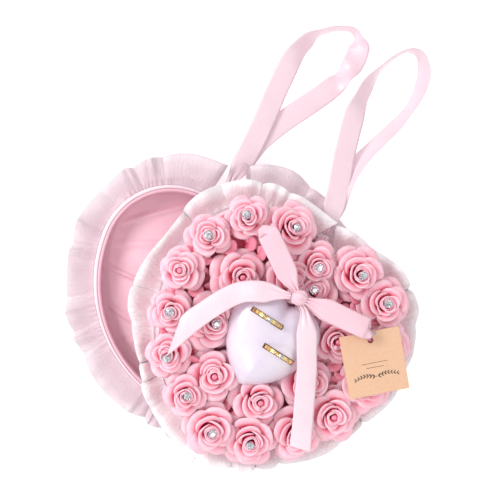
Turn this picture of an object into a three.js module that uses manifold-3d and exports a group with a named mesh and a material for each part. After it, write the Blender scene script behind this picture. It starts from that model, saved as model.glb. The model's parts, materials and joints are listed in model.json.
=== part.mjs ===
// Heart-shaped ring bearer pillow: two padded satin heart halves joined at the tip by a ribbon
// hinge. The back half is an open tray that lies on the table. The front half is its lid, with
// foam roses, a pearl heart that holds two rings, a ribbon bow and a gift tag.
// Millimetres, +Z up. The origin is the centre of the back half's flat bottom, +Y runs from the
// heart's tip to its cleft.
import * as THREE from "three";
import { mergeVertices } from "three/addons/utils/BufferGeometryUtils.js";
import Module from "manifold-3d";

const wasm = await Module();
wasm.setup();

// ---- Driving dimensions -------------------------------------------------------------------

// The halves' heart outline: half-lobe and flank arcs, with a rounded tip and cleft.
const BODY_HEART = { width: 160, lobe: 49.5, reach: 98.5, flank: 98, tip: 10, cleft: 6 };
const GAP = 0.3; // between touching pieces
const COVER = 1.2; // satin cover
const BOARD = 2; // cardboard shell
const LINING = 1; // satin lining
const WADDING = 3; // padding under the back lining
const BACK_DEPTH = 24.8; // back half, floor to rim
const FRONT_DEPTH = 18; // front half, rim to top board
const PIPING = 2.5; // rim piping height
const PIPING_PROUD = 0.5; // how far the piping stands out of the cover

const RUFFLE = { width: 20, thick: 1.6, wave: 1.3, waves: 20 };
// Heights of the strip's seam and edge, and its gaps to the left and right of the cleft.
const BACK_RUFFLE = { root: 10, edge: 17, gapLeft: 7, gapRight: 19 };
const FRONT_RUFFLE = { root: 8.5, edge: 15.5, gapLeft: 7, gapRight: 7 };

const SWIVEL_DEG = -25; // the front half's turn at rest, clockwise from above
const SWIVEL_OUT = 22; // swivel point, outside the back half's tip
const TAB = { width: 16, length: 10, thick: 1, anchorWidth: 14, anchorThick: 2.2 };
const LID_SLIP = 8; // how far the lid's tip overhangs the back half's tip

const HANDLE = { length: 150, width: 40, neck: 46, neckWidth: 5, ribbon: 15.5, thick: 1 };
const HANDLE_SWELL = { low: 30, high: 60 }; // pull of the loop's curve from its neck and its top
const HANDLE_KNOT = { radius: 4, length: 8 };
const KNOT_OUT = 6; // knot's inner end, out from the cleft
const KNOT_TAPER = 0.8; // the knot's outer end against its inner end
// Turns from each heart's own axis, anticlockwise from above.
const BACK_HANDLE_DEG = -30;
const FRONT_HANDLE_DEG = 7;
const NECK_SCALE = 0.3; // how far the ribbon is gathered at its knot

const ROSE_BED = 4; // foam pad under the roses
const ROSE = { radius: 13.9, height: 24, inset: 8.5, count: 16 };
const BUD = { radius: 10, height: 22, clear: 1, count: 8 };

const PEARL_HEART = { width: 64, lobe: 19.5, reach: 43, flank: 52, tip: 4, cleft: 3 };
const PEARL_TIP = 44; // its tip above the front half's tip
const PEARL_BASE = 7; // card base under the cushion
const PEARL_BASE_INSET = 3;
const PEARL_HEIGHT = 21;

const RING = { outer: 11.8, inner: 10.2, band: 2.6, sunk: 2.5, stone: 2.4, stoneRise: 1.9 };
const STONE_SHAPE = { top: 0.7, foot: 0.35 }; // shares of its size
const RING_SLIT_CLEAR = 0.4;
const RING_PLACES = [
  { name: "1", x: -10, y: 91.5 },
  { name: "2", x: 9.5, y: 75 },
];

const BOW = { y: 114.5, lift: 6.6, knot: 5.5, ribbon: 15, thick: 0.8, loopHeight: 8 };
const LOOP_RISE = 0.4; // the loops' middle above the knot's
const LOOPS = [
  { name: "bow_loop_left", length: 43, turn: 149 },
  { name: "bow_loop_right", length: 46, turn: 8 },
];
const TAG = { width: 42, height: 43, thick: 0.6, hole: 2, holeDown: 6, x: 58, turn: 37 };
const TAG_LIFT = 0.5; // above the roses
const THREAD = 1.1; // tag thread diameter

// ---- Colours ------------------------------------------------------------------------------

const finish = (color, roughness, metalness = 0) =>
  new THREE.MeshStandardMaterial({ color, roughness, metalness });
const PALE_SATIN = finish(0xf6dfe8, 0.35);
const PINK_SATIN = finish(0xe6b4c6, 0.4);
const FOAM = finish(0xf8a8c0, 0.8);
const DEEP_FOAM = finish(0xf28aa8, 0.85);
const PEARL = finish(0xece4f2, 0.3);
const RIBBON = finish(0xf2d6e0, 0.35);
const CARD = finish(0xe4bd9b, 0.8);
const BOARD_GREY = finish(0xc9bdb4, 0.9);
const WHITE_FOAM = finish(0xf6f2f2, 0.9);
const GOLD = finish(0xe2b04a, 0.2, 1);
const CRYSTAL = finish(0xffffff, 0.05);

// ---- Geometry helpers ---------------------------------------------------------------------

const degrees = THREE.MathUtils.degToRad;
const flat = (x, y) => new THREE.Vector2(x, y);
const up = new THREE.Vector3(0, 0, 1);

function arc(centre, radius, from, to, steps) {
  return Array.from({ length: steps }, (_, i) => {
    const a = from + ((to - from) * i) / steps;
    return flat(centre.x + radius * Math.cos(a), centre.y + radius * Math.sin(a));
  });
}

// Centres of the arcs of a heart outline that is offset outwards by d. Its tip is at y = 0
// before the offset, and its right half is tip, flank, lobe and cleft arcs that meet smoothly.
function heartArcs(h, d) {
  const lobe = flat(h.width / 2 - h.lobe, h.reach + h.tip);
  const tip0 = flat(0, h.tip);
  const a = h.flank - h.lobe;
  const b = h.flank - h.tip;
  const across = tip0.clone().sub(lobe);
  const span = across.length();
  const along = (a * a - b * b + span * span) / (2 * span);
  const side = Math.sqrt(a * a - along * along);
  across.normalize();
  const flank = lobe.clone().addScaledVector(across, along);
  flank.add(flat(across.y * side, -across.x * side));
  const tipRadius = Math.max(h.tip + d, 1);
  const drop = Math.sqrt((h.flank + d - tipRadius) ** 2 - flank.x ** 2);
  const cleftRadius = Math.max(h.cleft - d, 1);
  const rise = Math.sqrt((h.lobe + d + cleftRadius) ** 2 - lobe.x ** 2);
  return {
    lobe: { centre: lobe, radius: h.lobe + d },
    flank: { centre: flank, radius: h.flank + d },
    tip: { centre: flat(0, flank.y - drop), radius: tipRadius },
    cleft: { centre: flat(0, lobe.y + rise), radius: cleftRadius },
  };
}

// The whole outline, anticlockwise from the tip. detail is the number of steps on each lobe.
function heart(h, d = 0, detail = 12) {
  const { lobe, flank, tip, cleft } = heartArcs(h, d);
  const angle = (from, to) => Math.atan2(to.y - from.y, to.x - from.x);
  const tipEnd = angle(flank.centre, tip.centre);
  const flankEnd = angle(flank.centre, lobe.centre);
  const lobeEnd = angle(lobe.centre, cleft.centre);
  const small = Math.ceil(detail / 4);
  const right = [
    ...arc(tip.centre, tip.radius, -Math.PI / 2, tipEnd, small),
    ...arc(flank.centre, flank.radius, tipEnd, flankEnd, Math.ceil(detail * 0.7)),
    ...arc(lobe.centre, lobe.radius, flankEnd, lobeEnd, detail),
    ...arc(cleft.centre, cleft.radius, lobeEnd - Math.PI, -Math.PI / 2, small),
  ];
  const top = flat(0, cleft.centre.y - cleft.radius);
  const left = right.slice(1).reverse().map((p) => flat(-p.x, p.y));
  return [...right, top, ...left];
}

const lift = (outline, z) => outline.map((p) => new THREE.Vector3(p.x, p.y, z));

// A closed geometry from faces, turned so that they point outwards.
function solid(points, faces) {
  let volume = 0;
  for (const [a, b, c] of faces) {
    volume += points[a].dot(points[b].clone().cross(points[c]));
  }
  const turned = volume < 0 ? faces.map(([a, b, c]) => [a, c, b]) : faces;
  const geometry = new THREE.BufferGeometry().setFromPoints(points);
  geometry.setIndex(turned.flat());
  return geometry;
}

// Skins a row of rings with equal point counts. The ends are capped, or joined into a loop.
function skin(rings, looped = false) {
  const count = rings[0].length;
  const points = rings.flat();
  const faces = [];
  const last = looped ? rings.length : rings.length - 1;
  for (let i = 0; i < last; i += 1) {
    const here = i * count;
    const next = ((i + 1) % rings.length) * count;
    for (let j = 0; j < count; j += 1) {
      const k = (j + 1) % count;
      faces.push([here + j, here + k, next + k], [here + j, next + k, next + j]);
    }
  }
  if (!looped) {
    const cap = (ring, start, flip) => {
      const level = ring.every((p) => Math.abs(p.z - ring[0].z) < 1e-6);
      const fan = Array.from({ length: count - 2 }, (_, i) => [0, i + 1, i + 2]);
      const cut = level
        ? THREE.ShapeUtils.triangulateShape(ring.map((p) => flat(p.x, p.y)), [])
        : fan;
      for (const [a, b, c] of cut) {
        faces.push(flip ? [start + a, start + c, start + b] : [start + a, start + b, start + c]);
      }
    };
    cap(rings[0], 0, true);
    cap(rings[rings.length - 1], points.length - count, false);
  }
  return solid(points, faces);
}

// A heart tray, wall and floor in one, from its outer and inner offsets.
function tray(h, outer, inner, low, floorTop, rim) {
  return skin([
    lift(heart(h, outer), low),
    lift(heart(h, outer), rim),
    lift(heart(h, inner), rim),
    lift(heart(h, inner), floorTop),
  ]);
}

// A flat heart slab, and a heart-shaped ring with a rectangular section.
const slab = (h, d, low, high) => skin([lift(heart(h, d), low), lift(heart(h, d), high)]);
const rimBand = (h, outer, inner, low, high) =>
  skin(
    [
      lift(heart(h, outer), low),
      lift(heart(h, outer), high),
      lift(heart(h, inner), high),
      lift(heart(h, inner), low),
    ],
    true,
  );

// A gathered strip round the heart, open at the cleft. Its edge waves up and down.
function ruffleStrip(h, { root, edge, gapLeft, gapRight }) {
  const detail = 36;
  const inner = heart(h, PIPING_PROUD + GAP, detail);
  const outer = heart(h, RUFFLE.width, detail);
  const middle = inner.length / 2;
  const beyond = (gap) => (p) => p.distanceTo(inner[middle]) > gap;
  const first = middle + inner.slice(middle).findIndex(beyond(gapLeft));
  const last = inner.length + inner.slice(0, middle).findLastIndex(beyond(gapRight));
  const rings = [];
  for (let i = first; i <= last; i += 1) {
    const a = inner[i % inner.length];
    const b = outer[i % outer.length];
    const wave = RUFFLE.wave * Math.sin((2 * Math.PI * RUFFLE.waves * i) / inner.length);
    rings.push([
      new THREE.Vector3(a.x, a.y, root),
      new THREE.Vector3(b.x, b.y, edge + wave),
      new THREE.Vector3(b.x, b.y, edge + wave + RUFFLE.thick),
      new THREE.Vector3(a.x, a.y, root + RUFFLE.thick),
    ]);
  }
  return skin(rings);
}

// A flat ribbon along a curve, level from side to side.
function ribbonAlong(points, width, thick, steps) {
  const curve = new THREE.CatmullRomCurve3(points);
  const rings = Array.from({ length: steps + 1 }, (_, i) => {
    const centre = curve.getPointAt(i / steps);
    const tangent = curve.getTangentAt(i / steps);
    const side = tangent.clone().cross(up).normalize();
    const normal = side.clone().cross(tangent).normalize();
    const corner = (s, n) =>
      centre
        .clone()
        .addScaledVector(side, (s * width) / 2)
        .addScaledVector(normal, (n * thick) / 2);
    return [corner(-1, -1), corner(1, -1), corner(1, 1), corner(-1, 1)];
  });
  return skin(rings);
}

function toManifold(geometry) {
  const bare = geometry.clone();
  bare.deleteAttribute("normal");
  bare.deleteAttribute("uv");
  const merged = mergeVertices(bare);
  return new wasm.Manifold(
    new wasm.Mesh({
      numProp: 3,
      vertProperties: merged.getAttribute("position").array,
      triVerts: new Uint32Array(merged.index.array),
    }),
  );
}

function fromManifold(body) {
  const mesh = body.getMesh();
  const geometry = new THREE.BufferGeometry();
  geometry.setAttribute("position", new THREE.BufferAttribute(mesh.vertProperties, 3));
  geometry.setIndex(Array.from(mesh.triVerts));
  return geometry;
}

function cut(geometry, ...tools) {
  return fromManifold(tools.reduce((a, b) => a.subtract(toManifold(b)), toManifold(geometry)));
}

function extrude(shape, depth, curveSegments = 8) {
  return new THREE.ExtrudeGeometry(shape, { depth, bevelEnabled: false, curveSegments });
}

// Spaces count points evenly along a closed outline, first of them a share of a step from its
// first point.
function spread(outline, count, share = 0) {
  const loop = [...outline, outline[0]];
  const lengths = [0];
  for (let i = 1; i < loop.length; i += 1) {
    lengths.push(lengths[i - 1] + loop[i].distanceTo(loop[i - 1]));
  }
  const total = lengths[lengths.length - 1];
  return Array.from({ length: count }, (_, k) => {
    const want = (total * (k + share)) / count;
    const i = Math.max(lengths.findIndex((l) => l > want), 1);
    const along = (want - lengths[i - 1]) / (lengths[i] - lengths[i - 1]);
    return loop[i - 1].clone().lerp(loop[i], along);
  });
}

function piece(group, name, geometry, material, position = [0, 0, 0], turnZ = 0) {
  const mesh = new THREE.Mesh(geometry, material);
  mesh.name = name;
  mesh.position.set(...position);
  mesh.rotation.z = turnZ;
  group.add(mesh);
  return mesh;
}

// ---- Shared sizes -------------------------------------------------------------------------

const outline0 = heart(BODY_HEART);
const heartTop = Math.max(...outline0.map((p) => p.y));
const cleftY = heartArcs(BODY_HEART, 0).cleft.centre.y - BODY_HEART.cleft;
const boardOut = -COVER - GAP;
const liningOut = boardOut - BOARD - GAP;
const rim = BACK_DEPTH - PIPING;
const roseFoot = FRONT_DEPTH + GAP + ROSE_BED + GAP;
const roseTop = roseFoot + ROSE.height;

// ---- Ribbon handle, shared by both halves ---------------------------------------------------

// A drop-shaped ribbon loop that stands on edge. It starts at y = 0 and runs along +Y, and the
// ribbon is gathered narrow at its knot.
function handleLoop() {
  const { low, high } = HANDLE_SWELL;
  const outlineOf = (inset) => {
    const half = HANDLE.neckWidth / 2 - inset;
    const wide = HANDLE.width / 2 - inset;
    const topY = HANDLE.length - inset;
    const shape = new THREE.Shape();
    shape.moveTo(-half, inset);
    shape.lineTo(half, inset);
    shape.lineTo(half, HANDLE.neck);
    shape.bezierCurveTo(half, HANDLE.neck + low, wide, topY - high, wide, topY - wide);
    shape.absarc(0, topY - wide, wide, 0, Math.PI, false);
    shape.bezierCurveTo(-wide, topY - high, -half, HANDLE.neck + low, -half, HANDLE.neck);
    shape.closePath();
    return shape;
  };
  const loop = outlineOf(0);
  loop.holes.push(new THREE.Path(outlineOf(HANDLE.thick).getPoints(7)));
  const geometry = extrude(loop, HANDLE.ribbon, 7);
  const place = geometry.getAttribute("position");
  for (let i = 0; i < place.count; i += 1) {
    const spreadOut = THREE.MathUtils.smoothstep(place.getY(i), 0, HANDLE.neck);
    const scale = NECK_SCALE + (1 - NECK_SCALE) * spreadOut;
    place.setZ(i, (place.getZ(i) - HANDLE.ribbon / 2) * scale);
  }
  return geometry;
}

function handleKnot() {
  const { radius, length } = HANDLE_KNOT;
  return new THREE.CylinderGeometry(radius * KNOT_TAPER, radius, length, 10);
}

// ---- Back half ----------------------------------------------------------------------------

const pillow = new THREE.Group();
const backHalf = new THREE.Group();
// The outline's tip is at y = 0 in each half's own coordinates.
backHalf.position.y = -heartTop / 2;
pillow.add(backHalf);

const boardLow = COVER + GAP;
const paddingLow = boardLow + BOARD + GAP;
const liningLow = paddingLow + WADDING + GAP;
piece(backHalf, "back_cover", tray(BODY_HEART, 0, -COVER, 0, COVER, rim - GAP), PALE_SATIN);
piece(
  backHalf,
  "back_shell",
  tray(BODY_HEART, boardOut, boardOut - BOARD, boardLow, boardLow + BOARD, rim - GAP),
  BOARD_GREY,
);
piece(
  backHalf,
  "back_wadding",
  slab(BODY_HEART, liningOut, paddingLow, paddingLow + WADDING),
  WHITE_FOAM,
);
piece(
  backHalf,
  "back_lining",
  tray(BODY_HEART, liningOut, liningOut - LINING, liningLow, liningLow + LINING, rim - GAP),
  PINK_SATIN,
);
piece(
  backHalf,
  "back_piping",
  rimBand(BODY_HEART, PIPING_PROUD, liningOut - LINING, rim, BACK_DEPTH),
  PALE_SATIN,
);
piece(backHalf, "back_ruffle", ruffleStrip(BODY_HEART, BACK_RUFFLE), PALE_SATIN);

const handleRoot = HANDLE_KNOT.length + GAP;
const backHandle = new THREE.Group();
backHandle.position.set(0, cleftY + KNOT_OUT, BACK_DEPTH / 2 - 1);
backHandle.rotation.z = degrees(BACK_HANDLE_DEG);
backHalf.add(backHandle);
piece(backHandle, "back_handle_knot", handleKnot(), RIBBON, [0, HANDLE_KNOT.length / 2, 0]);
piece(backHandle, "back_handle", handleLoop(), RIBBON, [0, handleRoot, 0]);

// ---- Tip hinge ----------------------------------------------------------------------------

// The anchor is sewn to the back half's tip, the tab turns on it, and the front half's flap
// folds at the tab's outer end. All three lie between the two ruffles.
const anchorTop = BACK_DEPTH - GAP - TAB.thick - GAP;
const anchorLength = SWIVEL_OUT + TAB.width / 2;
const anchor = new THREE.BoxGeometry(TAB.anchorWidth, anchorLength, TAB.anchorThick);
piece(backHalf, "hinge_anchor", anchor, RIBBON, [
  0,
  -PIPING_PROUD - GAP - anchorLength / 2,
  anchorTop - TAB.anchorThick / 2,
]);

const swivel = new THREE.Group();
swivel.position.set(0, -SWIVEL_OUT, 0);
swivel.rotation.z = degrees(SWIVEL_DEG);
backHalf.add(swivel);

const tabShape = new THREE.Shape();
tabShape.moveTo(-TAB.width / 2, -TAB.length);
tabShape.lineTo(TAB.width / 2, -TAB.length);
tabShape.lineTo(TAB.width / 2, 0);
tabShape.absarc(0, 0, TAB.width / 2, 0, Math.PI, false);
tabShape.closePath();
piece(swivel, "hinge_tab", extrude(tabShape, TAB.thick), RIBBON, [0, 0, anchorTop + GAP]);

// ---- Front half ---------------------------------------------------------------------------

// Its own coordinates put its tip at y = 0 and its rim at z = 0.
const front = new THREE.Group();
front.position.set(0, SWIVEL_OUT - LID_SLIP, BACK_DEPTH + GAP);
swivel.add(front);

// The front tray is upside down: its open side faces the back half.
const upsideDown = (geometry) => geometry.scale(1, 1, -1).translate(0, 0, FRONT_DEPTH);
function frontTray(outer, inner, skinAt, thick) {
  const made = tray(
    BODY_HEART,
    outer,
    inner,
    skinAt,
    skinAt + thick,
    FRONT_DEPTH - PIPING - GAP,
  );
  const turned = upsideDown(made);
  const index = Array.from(turned.index.array);
  for (let i = 0; i < index.length; i += 3) {
    [index[i + 1], index[i + 2]] = [index[i + 2], index[i + 1]];
  }
  turned.setIndex(index);
  return turned;
}
piece(front, "front_cover", frontTray(0, -COVER, 0, COVER), PALE_SATIN);
piece(front, "front_shell", frontTray(boardOut, boardOut - BOARD, boardLow, BOARD), BOARD_GREY);
piece(
  front,
  "front_lining",
  frontTray(liningOut, liningOut - LINING, paddingLow, LINING),
  PINK_SATIN,
);
piece(
  front,
  "front_piping",
  rimBand(BODY_HEART, PIPING_PROUD, liningOut - LINING, 0, PIPING),
  PALE_SATIN,
);
piece(front, "front_ruffle", ruffleStrip(BODY_HEART, FRONT_RUFFLE), PALE_SATIN);

const flapLength = SWIVEL_OUT - LID_SLIP + TAB.length;
const flap = new THREE.BoxGeometry(TAB.width, flapLength - PIPING_PROUD - GAP, TAB.thick);
piece(front, "hinge_flap", flap, RIBBON, [
  0,
  -PIPING_PROUD - GAP - (flapLength - PIPING_PROUD - GAP) / 2,
  TAB.thick / 2,
]);

const frontHandle = new THREE.Group();
frontHandle.position.set(0, cleftY + KNOT_OUT, HANDLE.ribbon / 2 + GAP);
frontHandle.rotation.z = degrees(FRONT_HANDLE_DEG);
front.add(frontHandle);
piece(frontHandle, "front_handle_knot", handleKnot(), RIBBON, [0, HANDLE_KNOT.length / 2, 0]);
piece(frontHandle, "front_handle", handleLoop(), RIBBON, [0, handleRoot, 0]);

// ---- Roses --------------------------------------------------------------------------------

piece(
  front,
  "rose_bed",
  slab(BODY_HEART, -2, FRONT_DEPTH + GAP, FRONT_DEPTH + GAP + ROSE_BED),
  DEEP_FOAM,
);

// A foam rose as a closed bowl with a dimple in its top.
function rose({ radius, height }) {
  const profile = [
    [0, 0],
    [0.55, 0],
    [0.9, 0.28],
    [1, 0.6],
    [0.86, 0.92],
    [0.6, 1],
    [0, 0.84],
  ].map(([r, z]) => flat(r * radius, z * height));
  return new THREE.LatheGeometry(profile, 10).rotateX(Math.PI / 2);
}

const border = heart(BODY_HEART, -ROSE.inset, 24);
spread(border, ROSE.count).forEach((p, i) => {
  piece(front, `rose_${i + 1}`, rose(ROSE), FOAM, [p.x, p.y, roseFoot]);
});
const aroundPearl = heart(PEARL_HEART, BUD.radius + BUD.clear, 16);
// Half a step round, so that none stands on the axis, where the room is least.
spread(aroundPearl, BUD.count, 0.5).forEach((p, i) => {
  piece(front, `rosebud_${i + 1}`, rose(BUD), FOAM, [p.x, p.y + PEARL_TIP, roseFoot]);
});

// ---- Pearl heart and rings ------------------------------------------------------------------

const pearlFoot = roseFoot + PEARL_BASE + GAP;
piece(
  front,
  "pearl_heart_base",
  slab(PEARL_HEART, -PEARL_BASE_INSET, roseFoot, roseFoot + PEARL_BASE),
  CARD,
  [0, PEARL_TIP, 0],
);

// Crowned cushion: each level is the outline, inset further as it rises.
const crown = [
  [-3, 0],
  [0, 0.14],
  [0, 0.4],
  [-3, 0.65],
  [-8, 0.86],
  [-14, 0.97],
  [-17.5, 1],
];
const cushion = skin(
  crown.map(([inset, share]) => lift(heart(PEARL_HEART, inset), share * PEARL_HEIGHT)),
);
const ringZ = PEARL_HEIGHT - RING.sunk;
const slitTools = RING_PLACES.map(({ x, y }) => {
  const reach = RING.outer + RING_SLIT_CLEAR;
  const deep = reach + RING.sunk + 5;
  const slit = new THREE.BoxGeometry(2 * reach, RING.band + 2 * RING_SLIT_CLEAR, deep);
  return slit.translate(x, y - PEARL_TIP, ringZ - reach + deep / 2);
});
piece(front, "pearl_heart", cut(cushion, ...slitTools), PEARL, [0, PEARL_TIP, pearlFoot]);

RING_PLACES.forEach(({ name, x, y }) => {
  const half = RING.band / 2;
  const section = [
    flat(RING.inner, -half),
    flat(RING.outer, -half),
    flat(RING.outer, half),
    flat(RING.inner, half),
    flat(RING.inner, -half),
  ];
  const band = new THREE.LatheGeometry(section, 28);
  piece(front, `ring_${name}`, band, GOLD, [x, y, pearlFoot + ringZ]);
  const [top, foot] = [STONE_SHAPE.top * RING.stone, STONE_SHAPE.foot * RING.stone];
  const stone = new THREE.CylinderGeometry(top, foot, RING.stoneRise, 8);
  stone.rotateX(Math.PI / 2);
  const stoneZ = RING.outer + GAP + RING.stoneRise / 2;
  piece(front, `ring_stone_${name}`, stone, CRYSTAL, [x, y, pearlFoot + ringZ + stoneZ]);
});

// ---- Bow ----------------------------------------------------------------------------------

const bowZ = roseTop + BOW.lift;
const knot = new THREE.SphereGeometry(BOW.knot, 12, 8);
piece(front, "bow_knot", knot, RIBBON, [0, BOW.y, bowZ]);

// A folded ribbon loop lying on its side, from the knot outwards along +X.
function bowLoop(length) {
  const round = (inset) => {
    const tall = BOW.loopHeight / 2 - inset;
    const shape = new THREE.Shape();
    shape.moveTo(inset, -1 + inset);
    shape.quadraticCurveTo(length * 0.4, -tall, length - tall, -tall);
    shape.absarc(length - tall - inset, 0, tall, -Math.PI / 2, Math.PI / 2, false);
    shape.quadraticCurveTo(length * 0.4, tall, inset, 1 - inset);
    shape.closePath();
    return shape;
  };
  const loop = round(0);
  loop.holes.push(new THREE.Path(round(BOW.thick).getPoints(6)));
  return extrude(loop, BOW.ribbon, 6).rotateX(Math.PI / 2).translate(0, BOW.ribbon / 2, 0);
}

const loopStart = BOW.knot + GAP;
LOOPS.forEach(({ name, length, turn }) => {
  const a = degrees(turn);
  const from = [loopStart * Math.cos(a), BOW.y + loopStart * Math.sin(a), bowZ + LOOP_RISE];
  piece(front, name, bowLoop(length), RIBBON, from, a);
});

// The tails' routes over the pearl heart and the roses, as heights above the roses.
// Each tail starts at the knot; the rest of its x runs out from what it lies beside.
const pearlSide = PEARL_HEART.width / 2;
const ringSide = RING_PLACES[1].x + RING.outer;
const TAILS = [
  {
    name: "bow_tail_left",
    route: [
      [-7.5, 111, 3.2],
      [12 - pearlSide, 106, 3.2],
      [-4 - pearlSide, 95, 2.2],
      [-17 - pearlSide, 70, 1.4],
      [-26 - pearlSide, 43, 1],
    ],
  },
  {
    name: "bow_tail_right",
    route: [
      [7.6, 109, 2.6],
      [ringSide - 4.3, 98, 5.4],
      [ringSide + 10.7, 75, 3.4],
      [ringSide + 21.7, 56, 1.6],
      [ringSide + 35.7, 29, 1.1],
    ],
  },
];
TAILS.forEach(({ name, route }) => {
  const points = route.map(([x, y, z]) => new THREE.Vector3(x, y, roseTop + z));
  piece(front, name, ribbonAlong(points, BOW.ribbon, BOW.thick, 14), RIBBON);
});

// ---- Gift tag -----------------------------------------------------------------------------

const card = new THREE.Shape();
card.moveTo(-TAG.width / 2, TAG.holeDown - TAG.height);
card.lineTo(TAG.width / 2, TAG.holeDown - TAG.height);
card.lineTo(TAG.width / 2, TAG.holeDown);
card.lineTo(-TAG.width / 2, TAG.holeDown);
card.closePath();
const eye = new THREE.Path();
eye.absarc(0, 0, TAG.hole, 0, 2 * Math.PI, true);
card.holes.push(eye);
const tagZ = roseTop + TAG_LIFT;
piece(
  front,
  "tag_card",
  extrude(card, TAG.thick, 6),
  CARD,
  [TAG.x, BOW.y + 2, tagZ],
  degrees(TAG.turn),
);

const threadRoute = [
  [4.4, BOW.y + 2.5, 2.1],
  [22, BOW.y + 3, 1.9],
  [40, BOW.y + 3, 1.9],
  [TAG.x - 8, BOW.y + 2, 2.1],
  [TAG.x - 2, BOW.y + 2, 2],
  [TAG.x, BOW.y + 2, 0.6],
].map(([x, y, z]) => new THREE.Vector3(x, y, roseTop + z));
const threadSection = new THREE.Shape();
threadSection.absarc(0, 0, THREAD / 2, 0, 2 * Math.PI, false);
const thread = new THREE.ExtrudeGeometry(threadSection, {
  steps: 18,
  curveSegments: 4,
  extrudePath: new THREE.CatmullRomCurve3(threadRoute),
});
piece(front, "tag_thread", thread, RIBBON);

export default pillow;
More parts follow.
